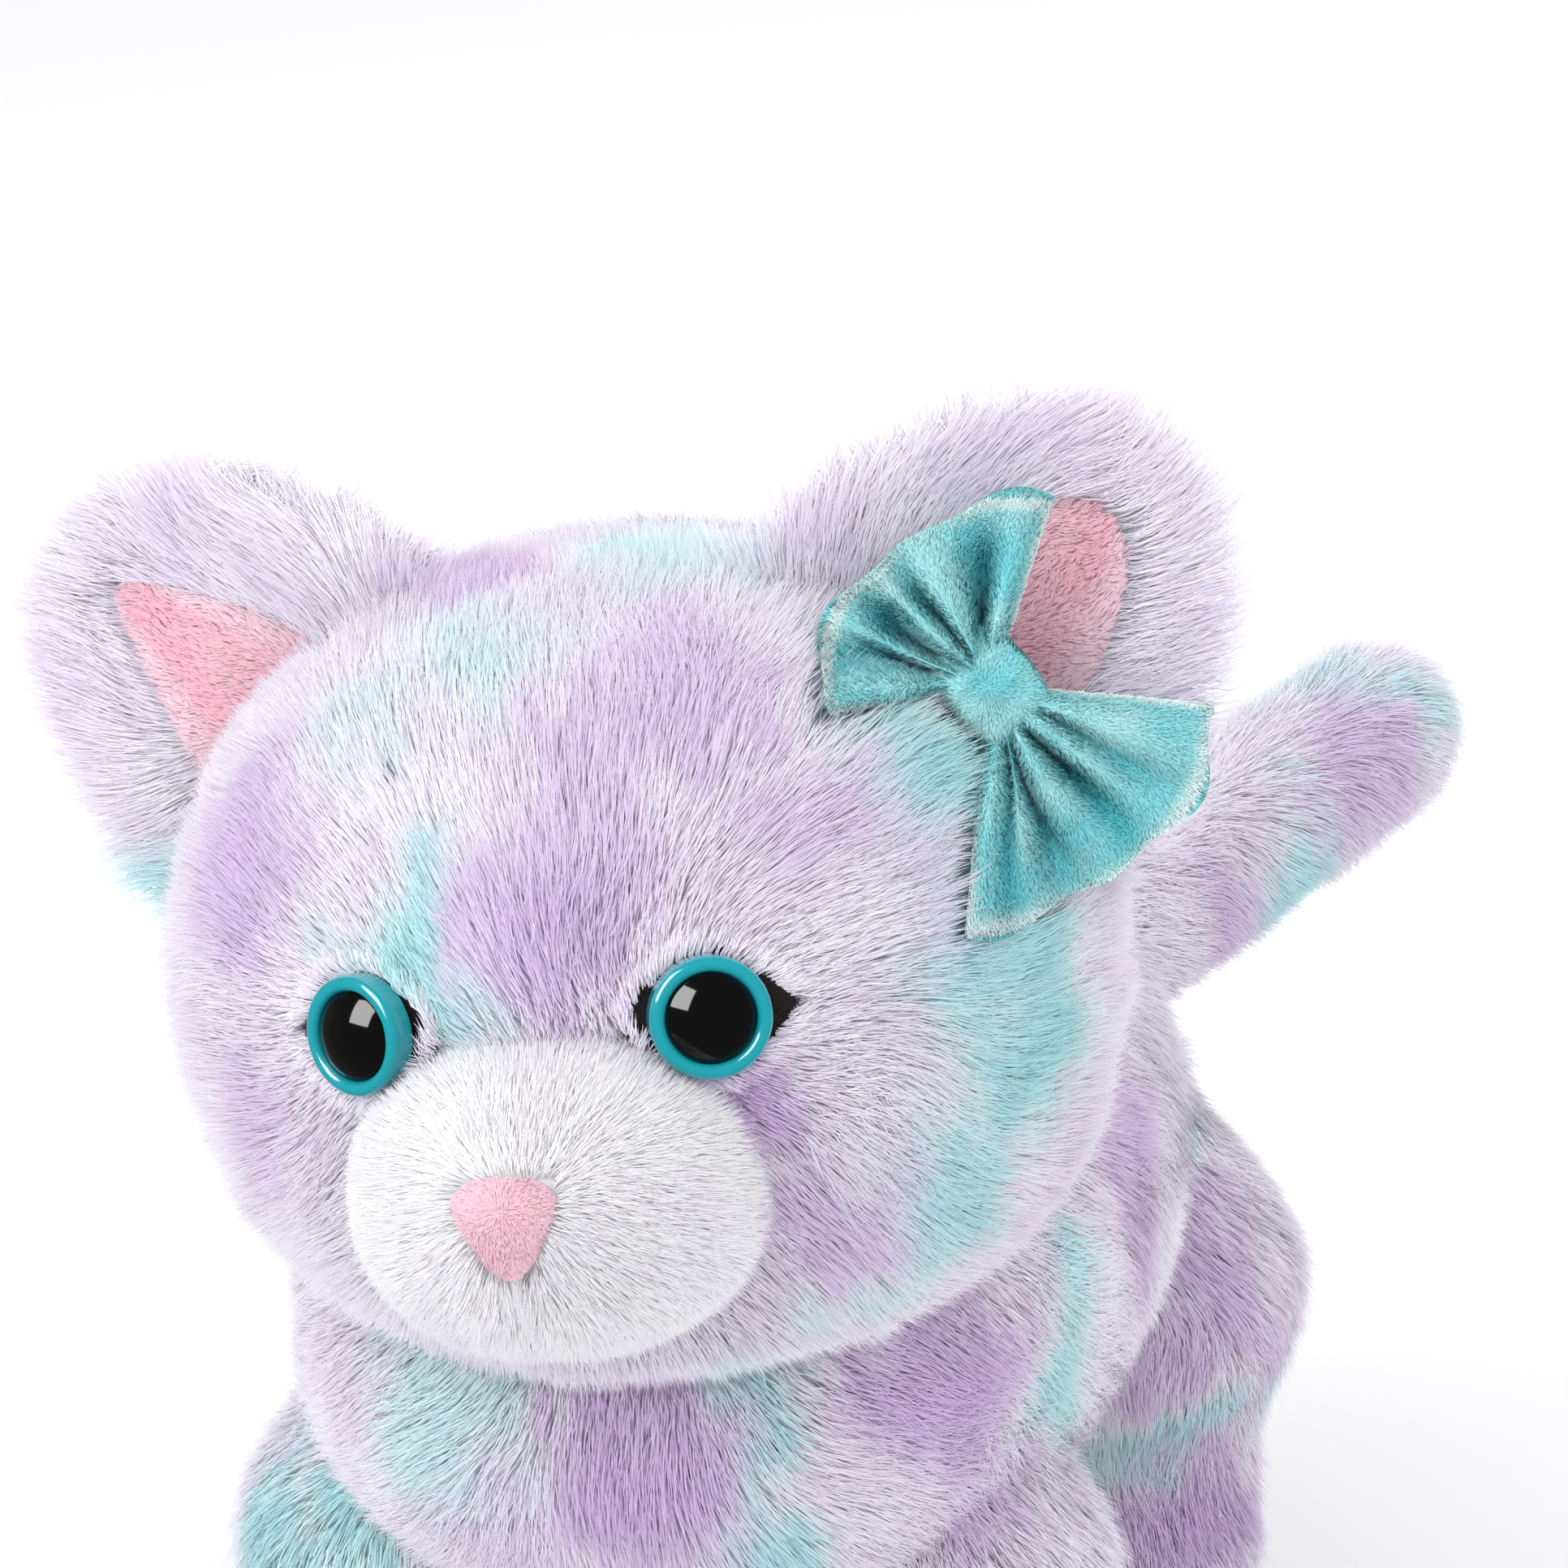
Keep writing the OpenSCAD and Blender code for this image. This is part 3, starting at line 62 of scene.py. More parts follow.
class Place:
    def __init__(self, r=np.eye(3), t=np.zeros(3)):
        self.r, self.t = r, t

    def move(self, *step):
        return Place(self.r, self.t + self.r @ np.array(step, float))

    def spin(self, axis, degrees):
        return Place(self.r @ turn(axis, degrees), self.t)

    def out(self, p):
        return p @ self.r.T + self.t

    def back(self, p):
        return (p - self.t) @ self.r

    def aim(self, v):
        return v @ self.r.T


def unit(v):
    return v / np.maximum(np.linalg.norm(v, axis=-1, keepdims=True), 1e-9)


def ease(t):
    t = np.clip(t, 0, 1)
    return (1 - np.cos(np.pi * t)) / 2


def lerp(a, b, t):
    return a + (b - a) * t


def rounded(a, n):
    return np.sign(a) * np.abs(a) ** (2 / n)


def circle(cols):
    return np.radians(np.arange(cols) * 360 / cols)


def noise(p, scale):
    q = p / scale
    low = np.floor(q).astype(int)
    f = q - low
    f = f * f * (3 - 2 * f)
    total = np.zeros(len(p))
    for step in np.ndindex(2, 2, 2):
        cell = (low + step) % noiseCells
        w = 1.0
        for k, d in enumerate(step):
            w = w * (f[:, k] if d else 1 - f[:, k])
        total += w * noiseTable[cell[:, 0], cell[:, 1], cell[:, 2]]
    return total


def drift(p, step, scale, amount):  # a shift that wanders smoothly from place to place
    return np.stack([noise(p + step * k, scale) - 0.5 for k in range(3)], axis=1) * amount


def reach(size, n, d):
    a = np.hypot(2 * d[..., 0] / size[..., 0], 2 * d[..., 1] / size[..., 1])
    return (a ** n + np.abs(2 * d[..., 2] / size[..., 2]) ** n) ** (-1 / n)


def level(p, size, n):  # below 1 inside a superellipsoid about the origin
    length = np.maximum(np.linalg.norm(p, axis=-1), 1e-6)
    return length / reach(np.array(size, float), n, p / length[..., None])


def superGrid(size, n, rows, cols):
    up = np.radians(np.linspace(-90, 90, rows + 2))[:, None]
    around = circle(cols)
    flat = np.cos(up)
    d = np.stack([flat * np.cos(around), flat * np.sin(around), np.sin(up) + 0 * around], axis=-1)
    return d * reach(np.array(size, float), n, d)[..., None]


# Where the pieces are; "full" is a form's roundness. Head, muzzle and tail also style their fur here
toy = Place().move(4.197, -14.439, 0)
head = {
    "at": (0, -72, 182), "tilt": -8.5, "nod": -5, "turn": 30, "size": (138, 124, 122), "full": 2.2,
    "inset": 0.6, "length": 10.5, "density": 6.2, "width": 0.23,
}
dishSize = (142, 136, 126)  # the hollow in the body that the head turns in
headRoom = (140, 140, 124)  # what the body's fur keeps out of
muzzle = {
    "at": (0, -56, -20), "size": (60, 56, 47), "full": 2.2, "inset": 1.6, "rim": (5.0, 1.5),
    "length": 4.9, "density": 12, "width": 0.17, "lift": 58, "fall": 26, "clump": 0.08, "swirl": 11,
    "stray": 0.8, "ruffle": 8, "liftSpread": 7,
}
eye = {"yaw": 24, "up": 4.5, "ring": 8.5, "bare": 8.6, "clear": 7.6, "deep": 14}
felt = {"length": 26, "height": 20, "area": 385, "outer": (4.6, 13.2), "inner": (5.0, 11.6)}
nose = {"up": 5, "half": 8.3, "above": 6.4, "below": 8.2, "thick": 2.9, "taper": (0.64, 3.4, 11.6)}
ear = {
    "round": 54, "at": (0, 6, 44), "lean": 47, "toe": 8, "width": 70, "length": 68, "thick": 13, "bend": 9,
    "forward": 0, "up": 0, "inset": 0.5,
}
lining = {
    "width": 36, "length": 40, "thick": 3, "forward": 5.6, "up": 18, "inset": 0.0, "bare": {1: 0.4, -1: 0.72},
}
bow = {"round": 56, "at": (0, -13, 75), "nod": -12}
body = {
    "length": 212, "chest": 130, "hip": 132, "height": 90, "z": 114, "full": 2.5, "ends": 0.62, "inset": 0.6,
}
tail = {
    "yaw": -34, "rise": 17, "from": 47, "long": 108, "z": 120, "root": 29, "tip": 25, "inset": 0.5,
    "length": 10.5, "density": 5.2, "width": 0.25, "lift": 55,
}
groove = {"ring": 57.9, "z": 123.3, "skin": 15.5, "room": 16.2}  # the channel that the tail's root runs in
doorWay = {"half": (27, 40), "back": 4, "low": 45, "high": 90}  # the battery door's way down


def outTo(settings, yaw, up):  # from the middle of a form to its skin, with -Y ahead
    yaw, up = math.radians(yaw), math.radians(up)
    d = np.array([math.sin(yaw) * math.cos(up), -math.cos(yaw) * math.cos(up), math.sin(up)])
    return float(reach(np.array(settings["size"], float), settings["full"], d))


def eyePlace(side):
    out = outTo(head, eye["yaw"], eye["up"])
    return headPlace.spin("z", side * eye["yaw"]).spin("x", -eye["up"]).move(0, -out, 0).spin("x", 90)


def earPlace(side):
    root = headPlace.spin("y", side * ear["round"]).move(*ear["at"])
    return root.spin("y", side * (ear["lean"] - ear["round"])).spin("z", side * ear["toe"])


headPlace = toy.move(*head["at"]).spin("y", head["tilt"]).spin("x", head["nod"])
muzzlePlace = headPlace.move(*muzzle["at"])
nosePlace = muzzlePlace.spin("x", -nose["up"]).move(0, -outTo(muzzle, 0, nose["up"]), 0).spin("x", 90)
bowPlace = headPlace.spin("y", bow["round"]).move(*bow["at"]).spin("x", bow["nod"])
pivotPlace = toy.move(0, 60, 0)
tailPlace = pivotPlace.spin("z", tail["yaw"])
eyes = {side: eyePlace(side) for side in sides}
ears = {side: earPlace(side) for side in sides}


def formLevel(settings, place, p, grow=0.0):
    size = np.array(settings["size"]) + 2 * np.asarray(grow)[..., None]
    return level(place.back(p), size, settings["full"])


def headLevel(p, grow=0.0):
    return formLevel(head, headPlace, p, grow)


def bodyHalf(t, grow):  # half width and half height along the body, from chest to rump
    e = np.maximum(np.sin(np.pi * t), 1e-4) ** body["ends"]
    return (lerp(body["chest"], body["hip"], ease(t)) / 2 + grow) * e, (body["height"] / 2 + grow) * e


def bodyLevel(p, grow=0.0):
    q = toy.back(p)
    half = body["length"] / 2 + grow
    w, h = bodyHalf(np.arccos(np.clip(-q[:, 1] / half, -1, 1)) / np.pi, grow)
    inside = (np.abs(q[:, 0]) / w) ** body["full"] + (np.abs(q[:, 2] - body["z"]) / h) ** body["full"]
    return np.where(np.abs(q[:, 1]) >= half, outside, inside ** (1 / body["full"]))


legs = {
    "foreleg_left": {"at": (41, -56), "top": (58, 64), "z": 114, "lean": 0},
    "foreleg_right": {"at": (-41, -56), "top": (58, 64), "z": 114, "lean": 0},
    "hindleg_left": {"at": (49, 72), "top": (64, 76), "z": 118, "lean": -4},
    "hindleg_right": {"at": (-49, 72), "top": (64, 76), "z": 118, "lean": -4},
}
paw = {"width": 52, "length": 62, "height": 34, "ankle": 50}
legShare = {"low": 0.4, "ankle": 1.3, "thigh": 0.64, "sole": 0.86, "crown": 0.3}


def eased(z, table):
    value = np.full(np.shape(z), table[-1][1], float)
    for (z0, a), (z1, b) in reversed(list(zip(table[:-1], table[1:]))):
        value = np.where(z <= z1, lerp(a, b, ease((z - z0) / (z1 - z0))), value)
    return value


def legSection(leg, z):  # half width, half length and middle at a height
    low, ankle = legShare["low"] * paw["height"], legShare["ankle"] * paw["height"]
    thigh, top = legShare["thigh"] * leg["z"], leg["z"]

    def taper(paws, thighs):
        ends = (0, legShare["sole"] * paws), (top, legShare["crown"] * thighs)
        return eased(z, [ends[0], (low, paws), (ankle, paw["ankle"]), (thigh, thighs), ends[1]])
    toe = (paw["length"] - paw["ankle"]) / 2
    middle = eased(z, [(0, -toe), (low, -toe), (ankle, 0), (top, leg["lean"])])
    return taper(paw["width"], leg["top"][0]) / 2, taper(paw["length"], leg["top"][1]) / 2, middle


def legLevel(p, leg, grow=0.0):
    q = toy.move(*leg["at"], 0).back(p)
    w, d, m = legSection(leg, np.clip(q[:, 2], 0, leg["z"]))
    inside = np.hypot(q[:, 0] / (w + grow), (q[:, 1] - m) / (d + grow))
    return np.where(q[:, 2] > leg["z"], outside, inside)


# Meshes
def triangles(skin):
    q, quv = skin["quads"], skin["quadUv"]
    tris = np.vstack([q[:, [0, 1, 2]], q[:, [0, 2, 3]], skin["tris"]])
    return tris, np.vstack([quv[:, [0, 1, 2]], quv[:, [0, 2, 3]], skin["triUv"]])


def corners(*pairs):  # UV pairs of many faces, one pair for each corner
    return np.stack([np.stack(np.broadcast_arrays(u, v), axis=1) for u, v in pairs], axis=1)


def gridSkin(points, poles):
    rows, cols = points.shape[:2]
    verts = np.vstack([points.reshape(-1, 3), poles])
    i, j = np.divmod(np.arange((rows - 1) * cols), cols)
    k = (j + 1) % cols
    quads = np.stack([i * cols + j, i * cols + k, (i + 1) * cols + k, (i + 1) * cols + j], axis=1)
    u0, u1 = j / cols, (j + 1) / cols
    v0, v1 = (i + 1) / (rows + 1), (i + 2) / (rows + 1)
    c = np.arange(cols)
    d = (c + 1) % cols
    last = (rows - 1) * cols
    first = np.stack([d, c, np.full(cols, rows * cols)], axis=1)
    final = np.stack([last + c, last + d, np.full(cols, rows * cols + 1)], axis=1)
    a0, a1, am = c / cols, (c + 1) / cols, (c + 0.5) / cols
    low, high = 1 / (rows + 1), rows / (rows + 1)
    poleUv = [corners((a1, low), (a0, low), (am, 0.0)), corners((a0, high), (a1, high), (am, 1.0))]
    skin = {
        "verts": verts, "quads": quads, "quadUv": corners((u0, v0), (u1, v0), (u1, v1), (u0, v1)),
        "tris": np.vstack([first, final]), "triUv": np.vstack(poleUv),
    }
    tris, _ = triangles(skin)
    a, b, c = (verts[tris[:, n]] for n in range(3))
    if np.sum(a * np.cross(b, c)) < 0:  # the faces would look inwards
        for key in ("quads", "tris", "quadUv", "triUv"):
            skin[key] = skin[key][:, ::-1]
    return skin


def closedSkin(grid):  # from a grid whose first and last rows are poles
    return gridSkin(grid[1:-1], grid[[0, -1], 0])


def tubeSkin(place, x, y, z, ends):
    points = np.stack(np.broadcast_arrays(x, y, z), axis=-1)
    return gridSkin(place.out(points), place.out(np.array(ends)))


def normalsOf(skin):
    tris, _ = triangles(skin)
    v = skin["verts"]
    face = np.cross(v[tris[:, 1]] - v[tris[:, 0]], v[tris[:, 2]] - v[tris[:, 0]])
    n = np.zeros_like(v)
    for k in range(3):
        np.add.at(n, tris[:, k], face)
    return unit(n)


def trimmed(skin, drop):  # without the faces that have a dropped corner
    q, t = (~drop[skin[key]].any(axis=1) for key in ("quads", "tris"))
    quads, tris = skin["quads"][q], skin["tris"][t]
    used, index = np.unique(np.concatenate([quads.ravel(), tris.ravel()]), return_inverse=True)
    return {
        "verts": skin["verts"][used], "quads": index[:quads.size].reshape(-1, 4), "quadUv": skin["quadUv"][q],
        "tris": index[quads.size:].reshape(-1, 3), "triUv": skin["triUv"][t],
    }


def addObject(name, data):
    obj = bpy.data.objects.new(name, data)
    bpy.context.scene.collection.objects.link(obj)
    return obj


def meshObject(name, verts, quads, tris, uv, material, normals=None):
    mesh = bpy.data.meshes.new(name)
    mesh.vertices.add(len(verts))
    mesh.vertices.foreach_set("co", (verts * metres).astype(np.float32).ravel())
    loops = np.concatenate([quads.ravel(), tris.ravel()]).astype(np.int32)
    sizes = np.repeat([4, 3], [len(quads), len(tris)])
    starts = np.concatenate([[0], np.cumsum(sizes)[:-1]]).astype(np.int32)
    mesh.loops.add(len(loops))
    mesh.loops.foreach_set("vertex_index", loops)
    mesh.polygons.add(len(sizes))
    mesh.polygons.foreach_set("loop_start", starts)
    mesh.update(calc_edges=True)
    mesh.validate()
    mesh.polygons.foreach_set("use_smooth", np.ones(len(sizes), bool))
    layer = mesh.uv_layers.new(name="OFBake")
    layer.data.foreach_set("uv", uv.astype(np.float32).ravel())
    if normals is not None:
        mesh.normals_split_custom_set_from_vertices(normals.astype(np.float32))
    mesh.materials.append(material)
    return addObject(name, mesh)


def attach(obj, dye, root, along):  # what the fur's material reads at each point
    for name, values in (("dye", dye), ("root", root * metres), ("along", along)):
        kind, key = ("FLOAT", "value") if values.ndim == 1 else ("FLOAT_VECTOR", "vector")
        layer = obj.data.attributes.new(name, kind, "POINT")
        layer.data.foreach_set(key, values.astype(np.float32).ravel())


def evenDye(share):
    return lambda p: np.tile([share, 0.0, 0.0], (len(p), 1))


plainDye = evenDye(0.0)


def skinObject(name, skin, material, dye=plainDye):
    uv = np.concatenate([skin["quadUv"].reshape(-1, 2), skin["triUv"].reshape(-1, 2)])
    obj = meshObject(name, skin["verts"], skin["quads"], skin["tris"], uv, material)
    # along is 0 on the skin, so the skin takes the roots' painted shade
    attach(obj, dye(skin["verts"]), skin["verts"], np.zeros(len(skin["verts"])))
    return obj


# Fur made of tapered blades; a piece's own style goes before these values
pile = {
    "lift": 60, "liftSpread": 5, "fall": 34, "jitter": 0.18, "ruffle": 16, "tuft": 7, "swirl": 15,
    "stray": 1.1, "clump": 0.24, "clumpOf": 30, "clumpAt": (0, 0.3, 1.0), "clumpMost": 0.92, "spin": 0.4,
    "widthAt": (1.0, 0.8), "lengths": (0.72, 0.45), "falls": (0.6, 0.8), "clumps": (0.5, 0.8),
    "widths": (0.7, 0.6), "shade": 0.15, "tipShade": 0.2, "fleck": (0.55, 0.45, 3.0), "most": 64000,
}
strips = 64  # rows of the colour map, one strand high
climb = np.array([0, 0, 0.5, 0.5, 1.0])  # how far up its strand each corner is
across = np.array([-1, 1, -1, 1, 0]) * 0.0006  # a strand's width in the map


def sampleSkin(skin, density):
    tris, uvs = triangles(skin)
    v, n = skin["verts"], normalsOf(skin)
    a, b, c = (v[tris[:, k]] for k in range(3))
    area = np.linalg.norm(np.cross(b - a, c - a), axis=1) / 2
    count = int(area.sum() * density)
    pick = rng.choice(len(tris), count, p=area / area.sum())
    r1, r2 = np.sqrt(rng.random(count)), rng.random(count)
    w = np.stack([1 - r1, r1 * (1 - r2), r1 * r2], axis=1)[:, :, None]
    normal = unit((n[tris[pick]] * w).sum(axis=1))
    return (v[tris[pick]] * w).sum(axis=1), normal, (uvs[pick] * w).sum(axis=1)


def vary(span, count):
    return span[0] + span[1] * rng.random(count)


def clumpCentres(root, each):  # for each strand, the strand that its clump leans to
    centres = rng.choice(len(root), max(1, int(len(root) / each)), replace=False)
    tree = KDTree(len(centres))
    for k, c in enumerate(centres):
        tree.insert(root[c], k)
    tree.balance()
    return centres[np.array([tree.find(p)[1] for p in root])]


def bladeCorners(points, normal, width, spin, style):
    places, normals = [], []
    tilt = style["shade"]
    for k, part in enumerate(style["widthAt"]):
        ahead = unit(points[k + 1] - points[k])
        flat = unit(np.cross(ahead, normal) + 1e-6)
        side = np.cos(spin) * flat + np.sin(spin) * np.cross(ahead, flat)
        half = side * (width * part / 2)[:, None]
        places += [points[k] - half, points[k] + half]
        normals += [unit(normal + tilt * ahead - tilt * flat), unit(normal + tilt * ahead + tilt * flat)]
    places.append(points[2])
    normals.append(unit(normal + style["tipShade"] * unit(points[2] - points[1])))
    return places, normals


def growFur(
        name, skin, material, style, flow, keep=None, lengthAt=None, dye=plainDye, after=None, avoid=None):
    style = dict(pile, **style)
    root, normal, uv = sampleSkin(skin, style["density"])
    if keep is not None:
        chosen = keep(root, normal)
        root, normal, uv = root[chosen], normal[chosen], uv[chosen]
    count = len(root)
    length = style["length"] * vary(style["lengths"], count) * (1 if lengthAt is None else lengthAt(root))
    along = unit(flow(root, normal)) + drift(root, 71, style["swirl"], style["stray"])
    along = along + style["jitter"] * rng.standard_normal((count, 3))
    along = unit(along - normal * np.sum(along * normal, axis=1, keepdims=True))
    wave = (noise(root + 300, style["tuft"]) - 0.5) * style["ruffle"]
    lift = np.radians(style["lift"] + wave + style["liftSpread"] * rng.standard_normal(count))
    fall = np.radians(style["fall"] * vary(style["falls"], count))
    points = [root]
    for k in range(2):
        angle = (lift - fall * k)[:, None]
        points.append(points[-1] + (np.cos(angle) * along + np.sin(angle) * normal) * (length / 2)[:, None])
    near = clumpCentres(root, style["clumpOf"])
    pull = style["clump"] * vary(style["clumps"], count)[:, None]
    for k, part in enumerate(style["clumpAt"]):
        points[k] = points[k] + np.minimum(pull * part, style["clumpMost"]) * (points[k][near] - points[k])
    if after is not None:
        points = [points[0]] + [after(p) for p in points[1:]]
    if avoid is not None:
        stay = ~(avoid(points[1]) | avoid(points[2]))
        points = [p[stay] for p in points]
        root, normal, uv = root[stay], normal[stay], uv[stay]
        count = len(root)
    width = style["width"] * vary(style["widths"], count)
    spin = rng.uniform(-style["spin"], style["spin"], count)[:, None]
    places, normals = bladeCorners(points, normal, width, spin, style)
    single, shared, scale = style["fleck"]
    dyesAndShade = dye(root)
    dyesAndShade[:, 2] = single * rng.random(count) + shared * noise(root + 500, scale)
    made = []
    chunks = max(1, math.ceil(count / style["most"]))
    for n, part in enumerate(np.array_split(np.argsort(uv[:, 0]), chunks)):
        base = np.arange(len(part))[:, None] * 5
        quads, tris = base + [0, 1, 3, 2], base + [2, 3, 4]
        row = np.floor(uv[part, 1] * (strips - 0.01))[:, None]
        u = np.clip(uv[part, 0], 0.002, 0.998)[:, None] + across
        map2d = np.stack([u, (row + 0.06 + 0.88 * climb) / strips], axis=-1).reshape(-1, 2)
        obj = meshObject(
            name if chunks == 1 else f"{name}_{n + 1}",
            np.stack([p[part] for p in places], axis=1).reshape(-1, 3), quads, tris,
            np.concatenate([map2d[quads.ravel()], map2d[tris.ravel()]]), material,
            np.stack([p[part] for p in normals], axis=1).reshape(-1, 3))
        five = [np.repeat(values[part], 5, axis=0) for values in (dyesAndShade, root)]
        attach(obj, *five, np.tile(climb, len(part)))
        made.append(obj)
    print("fur", name, count)
    return made


def rideOn(objects, bodyName, slot, node=None, fill=None):
    for obj in objects:
        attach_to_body(obj, bodyName)
    if node is not None:
        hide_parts(node)


def dress(names, skin, material, style, flow, ride, dye=plainDye, **how):  # a skin and the fur on it
    objects = [skinObject(names[0], skin, material, dye)]
    objects += growFur(names[1], skin, material, style, flow, dye=dye, **how)
    rideOn(objects, *ride)
    return objects[0]


# Shader nodes
class Socket:
    def __init__(self, tree, out):
        self.tree, self.out = tree, out

    def math(self, kind, *others):
        return self.tree.node("ShaderNodeMath", {"operation": kind}, (self,) + others)

    def __add__(self, o):
        return self.math("ADD", o)

    def __sub__(self, o):
        return self.math("SUBTRACT", o)

    def __mul__(self, o):
        return self.math("MULTIPLY", o)

    def __rsub__(self, o):
        return self.tree.node("ShaderNodeMath", {"operation": "SUBTRACT"}, (o, self))

    __radd__, __rmul__ = __add__, __mul__

    def clamp(self):
        return self.tree.node("ShaderNodeClamp", {}, (self, 0.0, 1.0))

    def between(self, low, high):
        smooth = {"interpolation_type": "SMOOTHSTEP"}
        return self.tree.node("ShaderNodeMapRange", smooth, (self, low, high, 0.0, 1.0))


class Nodes:
    def __init__(self, tree):
        self.nodes, self.links = tree.nodes, tree.links

    def node(self, kind, settings, inputs=(), output=0):
        made = self.nodes.new(kind)
        for key, value in settings.items():
            setattr(made, key, value)
        pairs = inputs.items() if isinstance(inputs, dict) else enumerate(inputs)
        for key, value in pairs:
            self.feed(made.inputs[key], value)
        return Socket(self, made.outputs[output])

    def feed(self, target, value):
        if isinstance(value, Socket):
            self.links.new(value.out, target)
        else:
            target.default_value = value


class Paint(Nodes):
    def __init__(self, name, values):
        self.material = bpy.data.materials.new(name)
        self.material.use_nodes = True
        super().__init__(self.material.node_tree)
        self.shader = self.nodes["Principled BSDF"]
        for key, value in values.items():
            self.set(key, value)

    def set(self, key, value):
        self.feed(self.shader.inputs[key], value)

    def mix(self, share, a, b):
        return self.node("ShaderNodeMix", {"data_type": "RGBA"}, {0: share, 6: a, 7: b}, 2)

    def speckle(self, scale, **inputs):
        return self.node("ShaderNodeTexNoise", {}, dict(inputs, Scale=scale, Detail=3.0))

    def attribute(self, name, output):
        return self.node("ShaderNodeAttribute", {"attribute_name": name}, (), output)

    def split(self, vector, axis):
        return self.node("ShaderNodeSeparateXYZ", {}, (vector,), axis)


def rgb(code):
    value = [int(code[k:k + 2], 16) / 255 for k in (0, 2, 4)]
    return tuple(c / 12.92 if c <= 0.04045 else ((c + 0.055) / 1.055) ** 2.4 for c in value) + (1.0,)


def furPaint(name, base, colours, deep, fleck=0.1):  # deep is how light the roots are: painted shade that darkens the roots and the bare skin under the fur
    soft = {"Roughness": 0.85, "Specular IOR Level": 0.2, "Sheen Weight": 0.25, "Sheen Roughness": 0.5}
    paint = Paint(name, soft)
    root = paint.attribute("root", 1)
    along = paint.attribute("along", 2)
    dye = paint.attribute("dye", 1)
    colour = paint.mix(paint.speckle(70.0, Vector=root).between(0.35, 0.7), rgb(base[0]), rgb(base[1]))
    for axis, (pale, full) in enumerate(colours):
        weight = paint.split(dye, axis)
        colour = paint.mix((weight * 1.6).clamp(), colour, rgb(pale))
        colour = paint.mix((weight * 1.7 - 0.7).clamp(), colour, rgb(full))
    # painted shade, darker towards the roots, times a random tone for each strand
    light = (paint.split(dye, 2) * fleck + 1 - 0.6 * fleck) * (along * (1 - deep) * 1.15 + deep).clamp()
    colour = paint.node("ShaderNodeVectorMath", {"operation": "SCALE"}, {0: colour, 3: light})
    paint.set("Base Color", colour)
    return paint.material


# Tie-dye patches: place, radius and strength
patches = {
    "purple": [
        (67, -26, 132, 15, 0.95), (76, 33, 92, 12, 0.85), (30, -88, 252, 10, 0.3), (6, -143, 207, 14, 0.8),
        (10, -135, 221, 14, 0.65), (20, -123, 232, 13, 0.7), (37, -128, 219, 11, 0.6),
        (50, -126, 207, 8, 0.45), (-43, -126, 203, 15, 0.85), (-45, -95, 224, 9, 0.4),
        (32, -150, 180, 10, 1.0), (39, -137, 164, 10, 0.7), (-35, -135, 168, 11, 0.6),
        (-49, -124, 174, 9, 0.45), (65, -106, 161, 7, 0.5), (72, -93, 187, 6, 0.5),
        (-2, -111, 239, 11, 0.45), (12, -120, 114, 15, 0.95), (50, -99, 123, 16, 0.95),
        (55, -86, 98, 12, 0.7), (-39, -104, 119, 10, 0.4), (-9, -117, 98, 11, 0.5), (68, -29, 122, 9, 0.9),
        (65, 21, 79, 11, 0.8), (72, 45, 97, 8, 0.7), (82, 42, 71, 13, 0.65), (70, 39, 39, 15, 1.0),
        (82, 142, 150, 13, 0.7), (64, -78, 267, 12, 0.3), (-90, -77, 222, 10, 0.25),
        (-22, -98, 243, 11, 0.9), (-68, -84, 246, 12, 0.4), (-62, -86, 96, 9, 0.7), (62, 108, 130, 13, 0.7),
        (76, 60, 30, 11, 0.8), (-60, 0, 120, 20, 0.8), (-66, 60, 80, 18, 0.8), (20, 60, 158, 20, 0.8),
        (-20, 0, 158, 16, 0.7), (-30, -20, 200, 22, 0.8), (30, -10, 225, 18, 0.7), (-50, 60, 30, 14, 0.8),
    ],
    "aqua": [
        (51, -107, 225, 8, 0.8), (59, -106, 216, 8, 0.8), (-12, -144, 201, 9, 0.95),
        (59, -120, 200, 14, 0.95), (53, -110, 222, 14, 0.95), (65, -115, 184, 10, 0.95),
        (55, -127, 169, 12, 0.8), (45, -126, 151, 7, 0.5), (-11, -118, 234, 12, 0.5),
        (-26, -127, 221, 7, 0.35), (-71, -84, 190, 9, 0.6), (-25, -92, 237, 7, 0.35),
        (23, -117, 127, 11, 0.95), (30, -117, 116, 7, 0.9), (30, -115, 100, 8, 0.8),
        (63, -69, 113, 10, 0.9), (64, -62, 125, 7, 0.7), (-48, -95, 84, 11, 0.9), (-19, -118, 119, 15, 0.5),
        (63, 48, 109, 7, 0.7), (69, 28, 87, 6, 0.7), (69, 32, 60, 8, 0.9), (54, 27, 58, 9, 0.6),
        (73, 151, 157, 9, 0.6), (89, 158, 158, 7, 0.7), (55, 101, 137, 6, 0.4), (6, -98, 246, 12, 0.6),
        (-69, -100, 176, 8, 0.5), (82, 56, 60, 8, 0.6), (78, 122, 134, 12, 0.9), (-64, 30, 110, 14, 0.8),
        (0, 30, 159, 14, 0.8), (-40, 90, 110, 14, 0.8), (0, -25, 215, 16, 0.8), (-55, -40, 190, 15, 0.7),
        (45, -60, 20, 10, 0.8),
    ],
}
dyeEdge = {"warp": (16, 15), "streak": (3.5, 11), "stretch": (1, 1, 0.4), "soft": (1.75, 1.35)}


